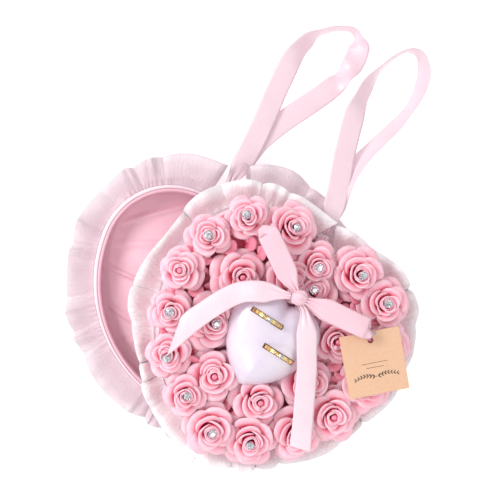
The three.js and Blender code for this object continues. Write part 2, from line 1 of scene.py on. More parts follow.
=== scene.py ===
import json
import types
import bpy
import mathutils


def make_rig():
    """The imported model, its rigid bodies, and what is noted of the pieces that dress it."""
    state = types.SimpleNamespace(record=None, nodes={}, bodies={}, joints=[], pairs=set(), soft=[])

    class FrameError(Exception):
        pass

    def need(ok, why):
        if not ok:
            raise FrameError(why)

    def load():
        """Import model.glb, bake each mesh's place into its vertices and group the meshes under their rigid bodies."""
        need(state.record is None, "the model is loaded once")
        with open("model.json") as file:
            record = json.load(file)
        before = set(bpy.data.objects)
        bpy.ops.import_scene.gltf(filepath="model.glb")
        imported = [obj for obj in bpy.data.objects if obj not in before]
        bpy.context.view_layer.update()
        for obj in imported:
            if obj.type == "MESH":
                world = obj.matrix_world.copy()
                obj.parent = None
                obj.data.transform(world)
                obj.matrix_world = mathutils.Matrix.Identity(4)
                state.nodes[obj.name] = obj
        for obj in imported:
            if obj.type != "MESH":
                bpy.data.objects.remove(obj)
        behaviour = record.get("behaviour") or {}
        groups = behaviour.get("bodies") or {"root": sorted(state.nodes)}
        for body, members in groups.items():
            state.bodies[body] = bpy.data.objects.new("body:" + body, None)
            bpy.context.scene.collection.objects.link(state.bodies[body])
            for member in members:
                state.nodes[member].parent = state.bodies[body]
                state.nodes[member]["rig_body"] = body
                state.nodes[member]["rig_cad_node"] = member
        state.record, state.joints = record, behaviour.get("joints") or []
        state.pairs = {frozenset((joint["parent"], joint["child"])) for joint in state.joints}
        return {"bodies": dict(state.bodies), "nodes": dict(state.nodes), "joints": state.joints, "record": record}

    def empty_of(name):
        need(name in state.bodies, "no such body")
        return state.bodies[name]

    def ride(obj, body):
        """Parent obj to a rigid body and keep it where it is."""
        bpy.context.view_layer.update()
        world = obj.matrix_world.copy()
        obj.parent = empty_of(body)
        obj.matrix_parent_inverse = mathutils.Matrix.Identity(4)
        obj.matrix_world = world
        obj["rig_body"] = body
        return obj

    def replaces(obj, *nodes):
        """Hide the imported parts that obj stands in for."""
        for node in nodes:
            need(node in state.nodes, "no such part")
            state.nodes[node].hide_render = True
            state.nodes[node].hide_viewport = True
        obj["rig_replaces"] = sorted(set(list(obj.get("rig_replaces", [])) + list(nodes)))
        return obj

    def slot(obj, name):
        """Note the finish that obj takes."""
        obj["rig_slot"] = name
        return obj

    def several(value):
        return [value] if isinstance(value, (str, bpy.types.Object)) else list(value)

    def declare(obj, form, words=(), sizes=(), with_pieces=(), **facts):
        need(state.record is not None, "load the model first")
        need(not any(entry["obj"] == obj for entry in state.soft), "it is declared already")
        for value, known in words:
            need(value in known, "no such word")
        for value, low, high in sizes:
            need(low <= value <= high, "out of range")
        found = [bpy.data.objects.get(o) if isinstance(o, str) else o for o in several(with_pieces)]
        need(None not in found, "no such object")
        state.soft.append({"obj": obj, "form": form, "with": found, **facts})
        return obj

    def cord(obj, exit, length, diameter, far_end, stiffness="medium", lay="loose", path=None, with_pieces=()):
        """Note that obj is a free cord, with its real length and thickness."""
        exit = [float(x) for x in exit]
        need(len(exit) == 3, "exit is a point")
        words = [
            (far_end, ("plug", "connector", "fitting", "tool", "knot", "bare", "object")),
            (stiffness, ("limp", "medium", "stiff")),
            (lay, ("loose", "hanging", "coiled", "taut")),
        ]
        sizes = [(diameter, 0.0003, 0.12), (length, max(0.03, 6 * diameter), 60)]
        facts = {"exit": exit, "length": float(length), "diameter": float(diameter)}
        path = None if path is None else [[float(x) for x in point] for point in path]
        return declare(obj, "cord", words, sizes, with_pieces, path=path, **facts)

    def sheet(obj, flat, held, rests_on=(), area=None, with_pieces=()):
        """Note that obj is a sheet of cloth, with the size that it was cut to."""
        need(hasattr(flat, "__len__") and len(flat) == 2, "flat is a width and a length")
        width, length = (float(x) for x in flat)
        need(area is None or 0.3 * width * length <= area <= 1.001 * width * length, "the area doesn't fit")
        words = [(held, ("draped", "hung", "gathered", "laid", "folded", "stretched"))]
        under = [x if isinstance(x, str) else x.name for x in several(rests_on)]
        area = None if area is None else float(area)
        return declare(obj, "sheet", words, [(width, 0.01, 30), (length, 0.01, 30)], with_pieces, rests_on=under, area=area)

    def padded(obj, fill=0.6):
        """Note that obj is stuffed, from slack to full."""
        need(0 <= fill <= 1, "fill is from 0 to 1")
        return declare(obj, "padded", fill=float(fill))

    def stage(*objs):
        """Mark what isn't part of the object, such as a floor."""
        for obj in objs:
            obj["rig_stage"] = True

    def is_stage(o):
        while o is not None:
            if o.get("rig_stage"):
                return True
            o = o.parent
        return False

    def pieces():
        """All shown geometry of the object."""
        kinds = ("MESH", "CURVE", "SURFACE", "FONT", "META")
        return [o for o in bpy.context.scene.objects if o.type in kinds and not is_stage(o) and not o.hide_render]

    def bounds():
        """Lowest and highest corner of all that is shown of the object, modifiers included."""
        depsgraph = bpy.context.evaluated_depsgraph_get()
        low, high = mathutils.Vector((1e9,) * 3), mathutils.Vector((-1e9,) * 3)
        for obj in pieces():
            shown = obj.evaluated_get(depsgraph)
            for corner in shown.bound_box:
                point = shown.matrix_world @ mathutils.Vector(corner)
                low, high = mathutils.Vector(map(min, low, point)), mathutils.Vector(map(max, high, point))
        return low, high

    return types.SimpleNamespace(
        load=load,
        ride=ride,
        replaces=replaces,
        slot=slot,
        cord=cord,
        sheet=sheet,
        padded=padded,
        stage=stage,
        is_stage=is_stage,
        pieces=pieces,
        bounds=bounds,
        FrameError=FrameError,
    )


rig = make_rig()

bl_info = {
    "name": "Ring Bearer Pillow",
    "version": (1, 0, 0),
    "blender": (4, 5, 0),
    "location": "View3D > Sidebar > Ring Pillow",
    "description": "Satin heart halves, foam roses, pearl heart, rings, bow, handles and gift tag",
    "category": "Add Mesh",
}

import json
import random
from math import atan2, copysign, cos, exp, pi, radians, sin, sqrt

import bmesh
import bpy
from bpy.props import FloatProperty, FloatVectorProperty, IntProperty, PointerProperty
from mathutils import Matrix, Vector, noise

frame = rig.load()
CAD_BOX = [list(corner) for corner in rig.bounds()]
JOINTS = {joint["name"]: joint for joint in frame["joints"]}

# ---- Places: each half has its own millimetre coordinates, with the heart's tip at the origin 

MM = Matrix.Scale(0.001, 4)
SWIVEL = Vector(JOINTS["lid_turn"]["pos_m"])
SWIVEL_OUT = 0.022  # swivel, outside the back half's tip
LID_ARM = 0.014  # swivel to the lid's tip
LID_RIM = 0.0251  # the lid's rim above the table
BACK = Matrix.Translation((0, SWIVEL.y + SWIVEL_OUT, 0)) @ MM


def turned(x_axis, origin):
    """A level frame whose X runs along x_axis."""
    x = Vector(x_axis).normalized()
    y = Vector((-x.y, x.x, 0))
    rows = [(x[i], y[i], float(i == 2), origin[i]) for i in range(3)]
    return Matrix((*rows, (0, 0, 0, 1)))


def placed(x, y, z, turn=0):
    """A place in millimetres, turned about Z by degrees."""
    return Matrix.Translation((x, y, z)) @ Matrix.Rotation(radians(turn), 4, "Z")


LID_X = Vector(JOINTS["lid_fold"]["axis"])
LID_Y = Vector((-LID_X.y, LID_X.x, 0))
LID_ORIGIN = Vector((SWIVEL.x, SWIVEL.y, LID_RIM)) + LID_Y * LID_ARM
LID = turned(LID_X, LID_ORIGIN) @ MM

BODY_HEART = dict(width=160, lobe=49.5, reach=98.5, flank=98, tip=10, cleft=6)
PEARL_HEART = dict(width=64, lobe=19.5, reach=43, flank=52, tip=4, cleft=3)
HEART_MIDDLE = Vector((0, 84))
ANY_TURN = 6.28  # top of a random angle, in radians
PEARL_TIP = 44  # from the lid's tip
PEARL_FOOT = 29.9  # this and the next heights are above the lid's rim
ROSE_FOOT = 22.6
ROSE_TOP = 46.6
RING_PLACES = (("1", -10, 91.5), ("2", 9.5, 75))
RING_CENTRE = 48.4
BOW_Y = 114.5
BOW_Z = 53.2
TAG_PLACE = (58, 116.5, 47.1)
TAG_TURN = 43
HANDLE_KNOT = 8.3  # from the handle's root to the loop


# ---- Sizes and colours ---------------------------------------------------------------


def tone(code):
    """A linear colour from a six-digit hex code."""
    channels = [int(code[i : i + 2], 16) / 255 for i in (0, 2, 4)]
    return tuple(c / 12.92 if c <= 0.04045 else ((c + 0.055) / 1.055) ** 2.4 for c in channels)


def measure(name, description, millimetres):
    """A length, which Blender keeps in metres."""
    return FloatProperty(
        name=name,
        description=description,
        default=millimetres * 0.001,
        min=0,
        precision=5,
        unit="LENGTH",
    )


class PillowSizes(bpy.types.PropertyGroup):
    """The sizes of the pieces, and the camera's lens and distance."""

    ruffle_width: measure("Ruffle width", "Seam to edge of the gathered strip", 17)
    ruffle_swing: measure("Ruffle swing", "Height of the folds at the free edge", 4.4)
    folds: IntProperty(
        name="Ruffle folds", description="Broad folds round each ruffle", default=19, min=8
    )
    cloth: measure("Satin thickness", "Thickness of the satin pieces", 0.35)
    ribbon_width: measure("Handle ribbon", "Width of the handles' ribbon", 15.5)
    bow_width: measure("Bow ribbon", "Width of the bow's ribbon", 14.5)
    petal: measure("Petal thickness", "Thickness of the foam petals", 0.75)
    rose_radius: measure("Rose radius", "Outer petals of a border rose", 14.6)
    bud_radius: measure("Small rose radius", "Outer petals of an inner rose", 16.2)
    crystal: measure("Crystal radius", "Radius of a crystal in its cup", 3.1)
    distance: measure("Camera distance", "Camera to its target", 1000)
    lens: FloatProperty(
        name="Lens", description="Focal length", default=102.86, min=1, unit="CAMERA"
    )


def colour(name, description, code):
    return FloatVectorProperty(
        name=name, description=description, default=tone(code), subtype="COLOR", min=0, max=1
    )


class PillowColours(bpy.types.PropertyGroup):
    """The colours of the finishes."""

    ruffle: colour("Ruffle satin", "Satin of the front half's ruffle", "fcf7fa")
    # The back ruffle is the ruffle satin greyed with painted shade, as the back half lies lower, partly under the lid.
    back_ruffle: colour("Back ruffle satin", "Satin of the back half's ruffle", "ead5dd")
    outer: colour("Outer satin", "Satin of the covers", "f8dde7")
    lining: colour("Lining satin", "Darker satin inside the tray", "f0bccb")
    ribbon: colour("Bow ribbon", "Ribbon of the bow", "f5c9d6")
    # The tails' colour is the bow ribbon made lighter: painted sheen and painted light through the thin ribbon.
    tail: colour("Bow tail ribbon", "Thinner ribbon of the bow's tails", "fadbe5")
    handle: colour("Handle ribbon", "Ribbon of the handles", "efd3dd")
    thread: colour("Tag thread", "Cotton thread of the gift tag", "f2a3b6")
    petal: colour("Petal", "Foam at the petals' rims", "ffd1dd")
    # Deep petal is painted shade: the foam darkened down between the petals.
    petal_painted_shade: colour("Deep petal", "Foam down between the petals", "ff5584")
    pearl: colour("Pearl", "Coating of the pearl heart", "e9dfe9")
    gold: colour("Gold", "Ring bands", "f2cf88")
    silver: colour("Silver", "Cups of the crystals", "dcdde0")
    crystal: colour("Crystal", "Cut stones", "fdfdff")
    kraft: colour("Kraft card", "Gift tag", "e8bc9c")
    ink: colour("Print", "Print on the gift tag", "5a4638")
    board: colour("Board", "Stiff board inside both halves", "cfc6bd")
    wadding: colour("Wadding", "Padding under the lining", "f6f4f4")
    card: colour("White card", "Base of the pearl heart", "f2eaf0")
    floor: colour("Floor", "Studio floor", "fbfbfb")


def sizes():
    return bpy.context.scene.pillow_sizes


def size(name):
    """One of the lengths, in millimetres."""
    return round(getattr(sizes(), name) * 1000, 3)


# ---- Outlines and paths --------------------------------------------------------------


def heart_arcs(h, grow=0.0):
    """The four arcs of the right half of a heart outline, as (centre, radius)."""
    lobe = Vector((h["width"] / 2 - h["lobe"], h["reach"] + h["tip"]))
    a, b = h["flank"] - h["lobe"], h["flank"] - h["tip"]
    across = Vector((0, h["tip"])) - lobe
    span = across.length
    along = (a * a - b * b + span * span) / (2 * span)
    side = sqrt(a * a - along * along)
    across.normalize()
    flank = lobe + across * along + Vector((across.y, -across.x)) * side
    tip_radius = max(h["tip"] + grow, 1)
    drop = sqrt((h["flank"] + grow - tip_radius) ** 2 - flank.x**2)
    cleft_radius = max(h["cleft"] - grow, 1)
    rise = sqrt((h["lobe"] + grow + cleft_radius) ** 2 - lobe.x**2)
    return (
        (Vector((0, flank.y - drop)), tip_radius),
        (flank, h["flank"] + grow),
        (lobe, h["lobe"] + grow),
        (Vector((0, lobe.y + rise)), cleft_radius),
    )


def heart_outline(h, grow=0.0, detail=60):
    """Points of the whole outline, anticlockwise from the tip."""
    (tip, tip_r), (flank, flank_r), (lobe, lobe_r), (cleft, cleft_r) = heart_arcs(h, grow)

    def bearing(start, end):
        return atan2(end.y - start.y, end.x - start.x)

    stops = (
        (tip, tip_r, -pi / 2, bearing(flank, tip)),
        (flank, flank_r, bearing(flank, tip), bearing(flank, lobe)),
        (lobe, lobe_r, bearing(flank, lobe), bearing(lobe, cleft)),
        (cleft, cleft_r, bearing(lobe, cleft) - pi, -pi / 2),
    )
    right = []
    for centre, radius, start, end in stops:
        for i in range(detail):
            a = start + (end - start) * i / detail
            right.append(centre + Vector((cos(a), sin(a))) * radius)
    top = Vector((0, cleft.y - cleft_r))
    return [*right, top, *(Vector((-p.x, p.y)) for p in reversed(right[1:]))]


def running_length(points):
    """The length of a path up to each of its points."""
    reach = [0.0]
    for a, b in zip(points, points[1:]):
        reach.append(reach[-1] + (b - a).length)
    return reach


class Loop:
    """A closed outline that gives a point and its outward normal at any share of its length."""

    def __init__(self, points):
        self.points = [*points, points[0]]
        self.reach = running_length(self.points)
        self.length = self.reach[-1]

    def at(self, share):
        want = (share % 1.0) * self.length
        low, high = 0, len(self.reach) - 1
        while high - low > 1:
            middle = (low + high) // 2
            low, high = (middle, high) if self.reach[middle] <= want else (low, middle)
        a, b = self.points[low], self.points[low + 1]
        part = (want - self.reach[low]) / max(self.reach[low + 1] - self.reach[low], 1e-9)
        return a.lerp(b, part)

    def normal(self, share, step=0.0015):
        along = self.at(share + step) - self.at(share - step)
        return Vector((along.y, -along.x)).normalized()


BODY = Loop(heart_outline(BODY_HEART))
PEARL = Loop(heart_outline(PEARL_HEART))


def inside(point, outline):
    """Whether a point lies inside a closed outline."""
    odd = False
    for a, b in zip(outline, [*outline[1:], outline[0]]):
        if (a.y > point.y) != (b.y > point.y):
            odd ^= point.x < a.x + (b.x - a.x) * (point.y - a.y) / (b.y - a.y)
    return odd


def smooth_path(points, steps):
    """A Catmull-Rom path through points, as steps + 1 evenly spaced Vectors."""
    knots = [Vector(p) for p in points]
    ends = [knots[0] * 2 - knots[1], *knots, knots[-1] * 2 - knots[-2]]
    pieces = 24
    fine = []
    for a, b, c, d in zip(ends, ends[1:], ends[2:], ends[3:]):
        for i in range(pieces):
            t = i / pieces
            square, cube = 2 * a - 5 * b + 4 * c - d, 3 * b - a - 3 * c + d
            fine.append(0.5 * (2 * b + (c - a) * t + square * t * t + cube * t**3))
    fine.append(knots[-1])
    reach = running_length(fine)
    path, at = [], 0
    for i in range(steps + 1):
        want = reach[-1] * i / steps
        while at < len(reach) - 2 and reach[at + 1] < want:
            at += 1
        part = (want - reach[at]) / max(reach[at + 1] - reach[at], 1e-9)
        path.append(fine[at].lerp(fine[at + 1], min(part, 1)))
    return path


def ease(x, low=0.0, high=1.0):
    """Smooth step from 0 at low to 1 at high."""
    t = min(max((x - low) / (high - low), 0.0), 1.0)
    return t * t * (3 - 2 * t)


def between(value, stops):
    """Reads a value off stops of (place, value), with smooth steps."""
    for (x0, y0), (x1, y1) in zip(stops, stops[1:]):
        if value <= x1:
            return y0 + (y1 - y0) * ease(value, x0, x1)
    return stops[-1][1]


def soft_noise(x, y, z):
    """Smooth noise from -1 to 1."""
    return noise.noise(Vector((x, y, z)))


# ---- Meshes --------------------------------------------------------------------------


def add_grid(bm, cols, rows, spot, across=1.0, along=1.0, shade=None):
    """Adds a grid whose corners are placed by spot(u, v), with a UV map in millimetres and a
    shade value for painted shade, from 0, deep in painted shade, to 1, at the lighter rim."""
    uv = bm.loops.layers.uv.verify()
    # This layer holds the painted shade, which only the foam's colour reads.
    painted_depth_shade = bm.verts.layers.float.get("shade") or bm.verts.layers.float.new("shade")
    made = bmesh.ops.create_grid(bm, x_segments=cols, y_segments=rows, size=0.5)["verts"]
    for face in {face for vert in made for face in vert.link_faces}:
        for corner in face.loops:
            place = corner.vert.co
            corner[uv].uv = ((place.x + 0.5) * across, (place.y + 0.5) * along)
    for vert in made:
        u, v = vert.co.x + 0.5, vert.co.y + 0.5
        vert[painted_depth_shade] = shade(u, v) if shade else v
        vert.co = spot(u, v)
    return made


def grid(cols, rows, spot, across=1.0, along=1.0, closed=False, shade=None):
    bm = bmesh.new()
    add_grid(bm, cols, rows, spot, across, along, shade)
    if closed:
        bmesh.ops.remove_doubles(bm, verts=bm.verts, dist=0.001)
        bmesh.ops.recalc_face_normals(bm, faces=bm.faces)
    return bm


def piece(
    bm, name, place, finishes, body, slot, replaces=(), thick=0.0, offset=0.0, smooth=True
):
    """Turns a bmesh in millimetres into a finished piece that rides on a body. finishes is one
    name or several, thick the thickness of its wall, and offset -1 to put that inside."""
    mesh = bpy.data.meshes.new(name)
    bm.transform(place)
    bm.to_mesh(mesh)
    bm.free()
    if smooth:
        mesh.shade_smooth()
    obj = bpy.data.objects.new(name, mesh)
    bpy.context.scene.collection.objects.link(obj)
    for one in (finishes,) if isinstance(finishes, str) else finishes:
        mesh.materials.append(finish(one))
    if thick:
        wall = obj.modifiers.new("Thickness", "SOLIDIFY")
        wall.thickness = thick * 0.001
        wall.offset = offset
    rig.ride(obj, body)
    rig.slot(obj, slot)
    if replaces:
        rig.replaces(obj, *replaces)
    return obj


def strip(
    path, width, seed, pinch, turn=lambda t: 0.0, rows=12, camber=0.0, wrinkle=0.0, ends=None
):
    """A ribbon along path, and its length. turn(t) is its roll in degrees, 0 lying flat and 90
    on edge. pinch(t) narrows it, and ends(t, s) slides its edges along to slant a cut."""
    shift_of_noise = Vector((seed * 7.3, seed * 3.1, seed * 1.7))
    count = len(path) - 1

    def spot(u, v):
        i = min(round(u * count), count)
        here = path[i]
        ahead = (path[min(i + 1, count)] - path[max(i - 1, 0)]).normalized()
        level = Vector((0, 0, 1)).cross(ahead)
        level = level.normalized() if level.length > 1e-4 else Vector((1, 0, 0))
        rise = ahead.cross(level).normalized()
        roll = radians(turn(u))
        side = level * cos(roll) + rise * sin(roll)
        face = ahead.cross(side).normalized()
        squeeze = pinch(u)
        s = v - 0.5
        gather = (1 - squeeze) * 1.6 * sin(v * pi * 5 + seed)
        ripple = wrinkle * noise.noise(here * 0.06 + side * s * 0.7 + shift_of_noise)
        lift = camber * (1 - 4 * s * s) + gather + ripple
        shift = ahead * (ends(u, s) if ends else 0.0)
        return here + side * (s * width * squeeze) + face * lift + shift

    length = running_length(path)[-1]
    return grid(count, rows, spot, across=length, along=width), length


def sheet_of(obj, width, length, held, rests_on, area=None):
    """Declares a cloth piece, with its cut size in millimetres."""
    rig.sheet(
        obj,
        flat=(width * 0.001, length * 0.001),
        held=held,
        rests_on=rests_on,
        area=None if area is None else area * 1e-6,
    )


# ---- Materials -----------------------------------------------------------------------


def add_node(tree, kind, inputs=(), **settings):
    """Adds a shader node. An input that is a socket is linked, and any other is set."""
    node = tree.nodes.new(f"ShaderNode{kind}")
    for key, value in settings.items():
        setattr(node, key, value)
    for key, value in dict(inputs).items():
        if isinstance(value, bpy.types.NodeSocket):
            tree.links.new(value, node.inputs[key])
        else:
            node.inputs[key].default_value = value
    return node


def math_node(tree, kind, *terms):
    return add_node(tree, "Math", enumerate(terms), operation=kind).outputs[0]


def spread(tree, value, low, high, to_low=0.0, to_high=1.0):
    """Maps the range from low to high onto another."""
    labels = ("Value", "From Min", "From Max", "To Min", "To Max")
    numbers = (value, low, high, to_low, to_high)
    return add_node(tree, "MapRange", zip(labels, numbers)).outputs[0]


def mix_colour(tree, factor, first, second):
    """Mixes two colours, each a plain value or a socket."""
    ends = [c if isinstance(c, bpy.types.NodeSocket) else (*c, 1) for c in (first, second)]
    inputs = zip((0, 6, 7), (factor, *ends))
    return add_node(tree, "Mix", inputs, data_type="RGBA").outputs[2]


def shared_group(tree, name, build, defaults, **values):
    """Places a node group in a material, with the material's own values. build(group, entry)
    makes its nodes the first time, and gives its outputs by name."""
    group = bpy.data.node_groups.get(name)
    if group is None:
        group = bpy.data.node_groups.new(name, "ShaderNodeTree")
        new_socket = group.interface.new_socket
        for label, default in defaults.items():
            socket = new_socket(label, in_out="INPUT", socket_type="NodeSocketFloat")
            socket.default_value = default
        results = build(group, group.nodes.new("NodeGroupInput").outputs)
        for label in results:
            new_socket(label, in_out="OUTPUT", socket_type="NodeSocketFloat")
        leave = group.nodes.new("NodeGroupOutput").inputs
        for label, value in results.items():
            group.links.new(value, leave[label])
    return add_node(tree, "Group", values, node_tree=group).outputs


def satin_weave(group, entry):
    """Fine floats along the cloth, slubs, long soft folds and cloudy shade."""
    uv = add_node(group, "UVMap").outputs[0]
    place = add_node(group, "TexCoord").outputs["Object"]

    def streaks(scale, **values):
        stretched = add_node(group, "Mapping", {"Vector": uv, "Scale": scale}).outputs[0]
        return add_node(group, "TexNoise", {"Vector": stretched, **values}).outputs[0]

    floats = {"Vector": uv, "Scale": entry["Threads"], "Distortion": 0.6, "Detail": 1.0}
    wave = add_node(group, "TexWave", floats, bands_direction="Y").outputs["Fac"]
    clouds = {"Vector": place, "Scale": entry["Cloud"], "Detail": 2.0}
    cloud = add_node(group, "TexNoise", clouds).outputs[0]
    slub = streaks((0.12, 1.6, 1.0), Detail=3.0)
    streak = math_node(group, "MULTIPLY", slub, entry["Slub"])
    thread = math_node(group, "MULTIPLY", wave, 0.35)
    both = math_node(group, "ADD", cloud, slub)
    return {
        "Height": math_node(group, "ADD", streak, thread),
        "Shade": math_node(group, "MULTIPLY", both, 0.5),
        "Folds": streaks((0.3, 0.045, 1.0), Detail=2.5, Distortion=0.4),
    }


def fine_grain(group, entry):
    """Pores, fibres or brushing: a coarse and a fine noise."""
    place = add_node(group, "TexCoord").outputs["Object"]
    fields = []
    for label, detail in (("Coarse", 3.0), ("Fine", 5.0)):
        inputs = {"Vector": place, "Scale": entry[label], "Detail": detail}
        fields.append(add_node(group, "TexNoise", inputs).outputs[0])
    total = math_node(group, "ADD", *fields)
    return {"Height": math_node(group, "MULTIPLY", total, 0.5), "Shade": fields[0]}


def weave_of(tree, threads):
    defaults = {"Threads": 2.4, "Slub": 0.5, "Cloud": 60.0}
    return shared_group(tree, "SatinWeave", satin_weave, defaults, Threads=threads)


def grain_of(tree, coarse, fine):
    defaults = {"Coarse": 300.0, "Fine": 1500.0}
    return shared_group(tree, "FineGrain", fine_grain, defaults, Coarse=coarse, Fine=fine)


def start_material(name, **values):
    """A material and its shader's inputs, with plain values set on their own sockets."""
    material = bpy.data.materials.new(name)
    material.use_nodes = True
    shader = material.node_tree.nodes["Principled BSDF"].inputs
    for label, value in values.items():
        shader[label.replace("_", " ")].default_value = value
    return material, material.node_tree, shader


def relief(tree, shader, *layers):
    """Chains bumps; each layer is (height socket, strength, distance)."""
    under = {}
    for height, strength, distance in layers:
        inputs = {"Height": height, "Strength": strength, "Distance": distance, **under}
        under = {"Normal": add_node(tree, "Bump", inputs).outputs[0]}
    tree.links.new(under["Normal"], shader["Normal"])


def satin(name, base, shade, roughness, threads, folds):
    """Satin or ribbon: its colour drifts a little, with threads and slubs in the bump."""
    material, tree, shader = start_material(
        name,
        Sheen_Weight=0.2,
        Sheen_Roughness=0.35,
        Specular_IOR_Level=0.65,
        Coat_Weight=0.2,
        Coat_Roughness=0.3,
    )
    weave = weave_of(tree, threads)
    factor = spread(tree, weave["Shade"], 0.35, 0.65)
    drift = mix_colour(tree, factor, tuple(c * shade for c in base), base)
    tree.links.new(drift, shader["Base Color"])
    rough = spread(tree, weave["Height"], 0.2, 0.6, roughness - 0.06, roughness + 0.08)
    tree.links.new(rough, shader["Roughness"])
    relief(tree, shader, (weave["Folds"], folds, 0.0012), (weave["Height"], 0.1, 0.0002))
    return material


def foam(name, rim, painted_depth_shade):
    """Sheet foam: painted shade, a deep colour down between the petals, up to pale rims, and fine pores."""
    material, tree, shader = start_material(
        name,
        Roughness=0.8,
        Specular_IOR_Level=0.2,
        Subsurface_Weight=0.25,
        Subsurface_Radius=(1.0, 0.3, 0.42),
        Subsurface_Scale=0.0015,
    )
    grain = grain_of(tree, 260.0, 2600.0)
    # The shade attribute mixes painted shade into the colour, from the deep colour down inside to pale rims.
    level = add_node(tree, "Attribute", attribute_name="shade").outputs["Fac"]
    blur = math_node(tree, "MULTIPLY_ADD", grain["Shade"], 0.3, level)
    body = tuple(0.55 * a + 0.45 * b for a, b in zip(painted_depth_shade, rim))
    lower = mix_colour(tree, spread(tree, blur, 0.2, 0.8), painted_depth_shade, body)
    whole = mix_colour(tree, spread(tree, blur, 0.85, 1.16), lower, rim)
    tree.links.new(whole, shader["Base Color"])
    relief(tree, shader, (grain["Height"], 0.3, 0.0003))
    return material


def grained(name, base, shade, coarse, fine, strength, values):
    """A hard or papery finish with two noises in its colour, roughness and bump."""
    material, tree, shader = start_material(name, **values)
    dark = tone(shade) if isinstance(shade, str) else [c * s for c, s in zip(base, shade)]
    grain = grain_of(tree, coarse, fine)
    factor = spread(tree, grain["Shade"], 0.35, 0.65)
    tree.links.new(mix_colour(tree, factor, dark, base), shader["Base Color"])
    middle = shader["Roughness"].default_value
    rough = spread(tree, grain["Height"], 0.3, 0.7, middle * 0.85, min(middle * 1.15, 1))
    tree.links.new(rough, shader["Roughness"])
    relief(tree, shader, (grain["Height"], strength, 0.0002))
    return material


# Colour, share of it in the shade, roughness, threads and depth of the folds.
SATINS = {
    "Ruffle satin": ("ruffle", 0.95, 0.28, 2.4, 0.75),
    # The back ruffle satin is a copy of the ruffle satin with painted shade.
    "Back ruffle satin": ("back_ruffle", 0.94, 0.3, 2.4, 0.6),
    "Outer satin": ("outer", 0.9, 0.36, 2.4, 0.15),
    "Lining satin": ("lining", 0.92, 0.42, 2.4, 0.15),
    "Ribbon satin": ("ribbon", 0.93, 0.24, 3.2, 0.2),
    # The tail satin is a lighter copy of the bow ribbon, with painted sheen.
    "Tail satin": ("tail", 0.93, 0.22, 3.2, 0.3),
    "Handle satin": ("handle", 0.94, 0.3, 3.2, 0.2),
    "Tag thread": ("thread", 0.85, 0.6, 5.0, 0.15),
}
# Colour, its shade as a colour or a share of each channel, coarse and fine grain, depth of the
# grain, and the shader's values.
GRAINED = {
    "Pearl coat": (
        "pearl", (0.9, 0.87, 0.97), 45, 900, 0.03,
        dict(Roughness=0.3, Coat_Weight=0.8, Coat_Roughness=0.14),
    ),
    "Ring gold": ("gold", [0.8] * 3, 700, 5000, 0.08, dict(Roughness=0.2, Metallic=1.0)),
    "Cup silver": ("silver", "b9bbc2", 900, 6000, 0.08, dict(Roughness=0.22, Metallic=1.0)),
    "Cut crystal": (
        "crystal", "767c8a", 1100, 7000, 0.02,
        dict(Roughness=0.05, Metallic=0.6, Coat_Weight=1.0),
    ),
    "Kraft card": ("kraft", [0.92] * 3, 900, 4200, 0.25, dict(Roughness=0.82)),
    "Print": ("ink", [0.8] * 3, 1200, 4200, 0.1, dict(Roughness=0.7)),
    "Grey board": ("board", "b9aea3", 400, 2500, 0.3, dict(Roughness=0.9)),
    "White wadding": ("wadding", "e6e2e2", 180, 900, 0.9, dict(Roughness=0.95)),
    "White card": ("card", "e3d8e0", 500, 2500, 0.15, dict(Roughness=0.6)),
    "Studio floor": ("floor", "f6f6f6", 8, 40, 0.01, dict(Roughness=0.9)),
}


def finish(name):
    """The material of a finish, made when it is first asked for."""
    if name in bpy.data.materials:
        return bpy.data.materials[name]
    colours = bpy.context.scene.pillow_colours
    if name == "Petal foam":
        return foam(name, colours.petal, colours.petal_painted_shade)
    make, table = (satin, SATINS) if name in SATINS else (grained, GRAINED)
    key, *values = table[name]
    return make(name, getattr(colours, key), *values)


# ---- Stage and camera ----------------------------------------------------------------


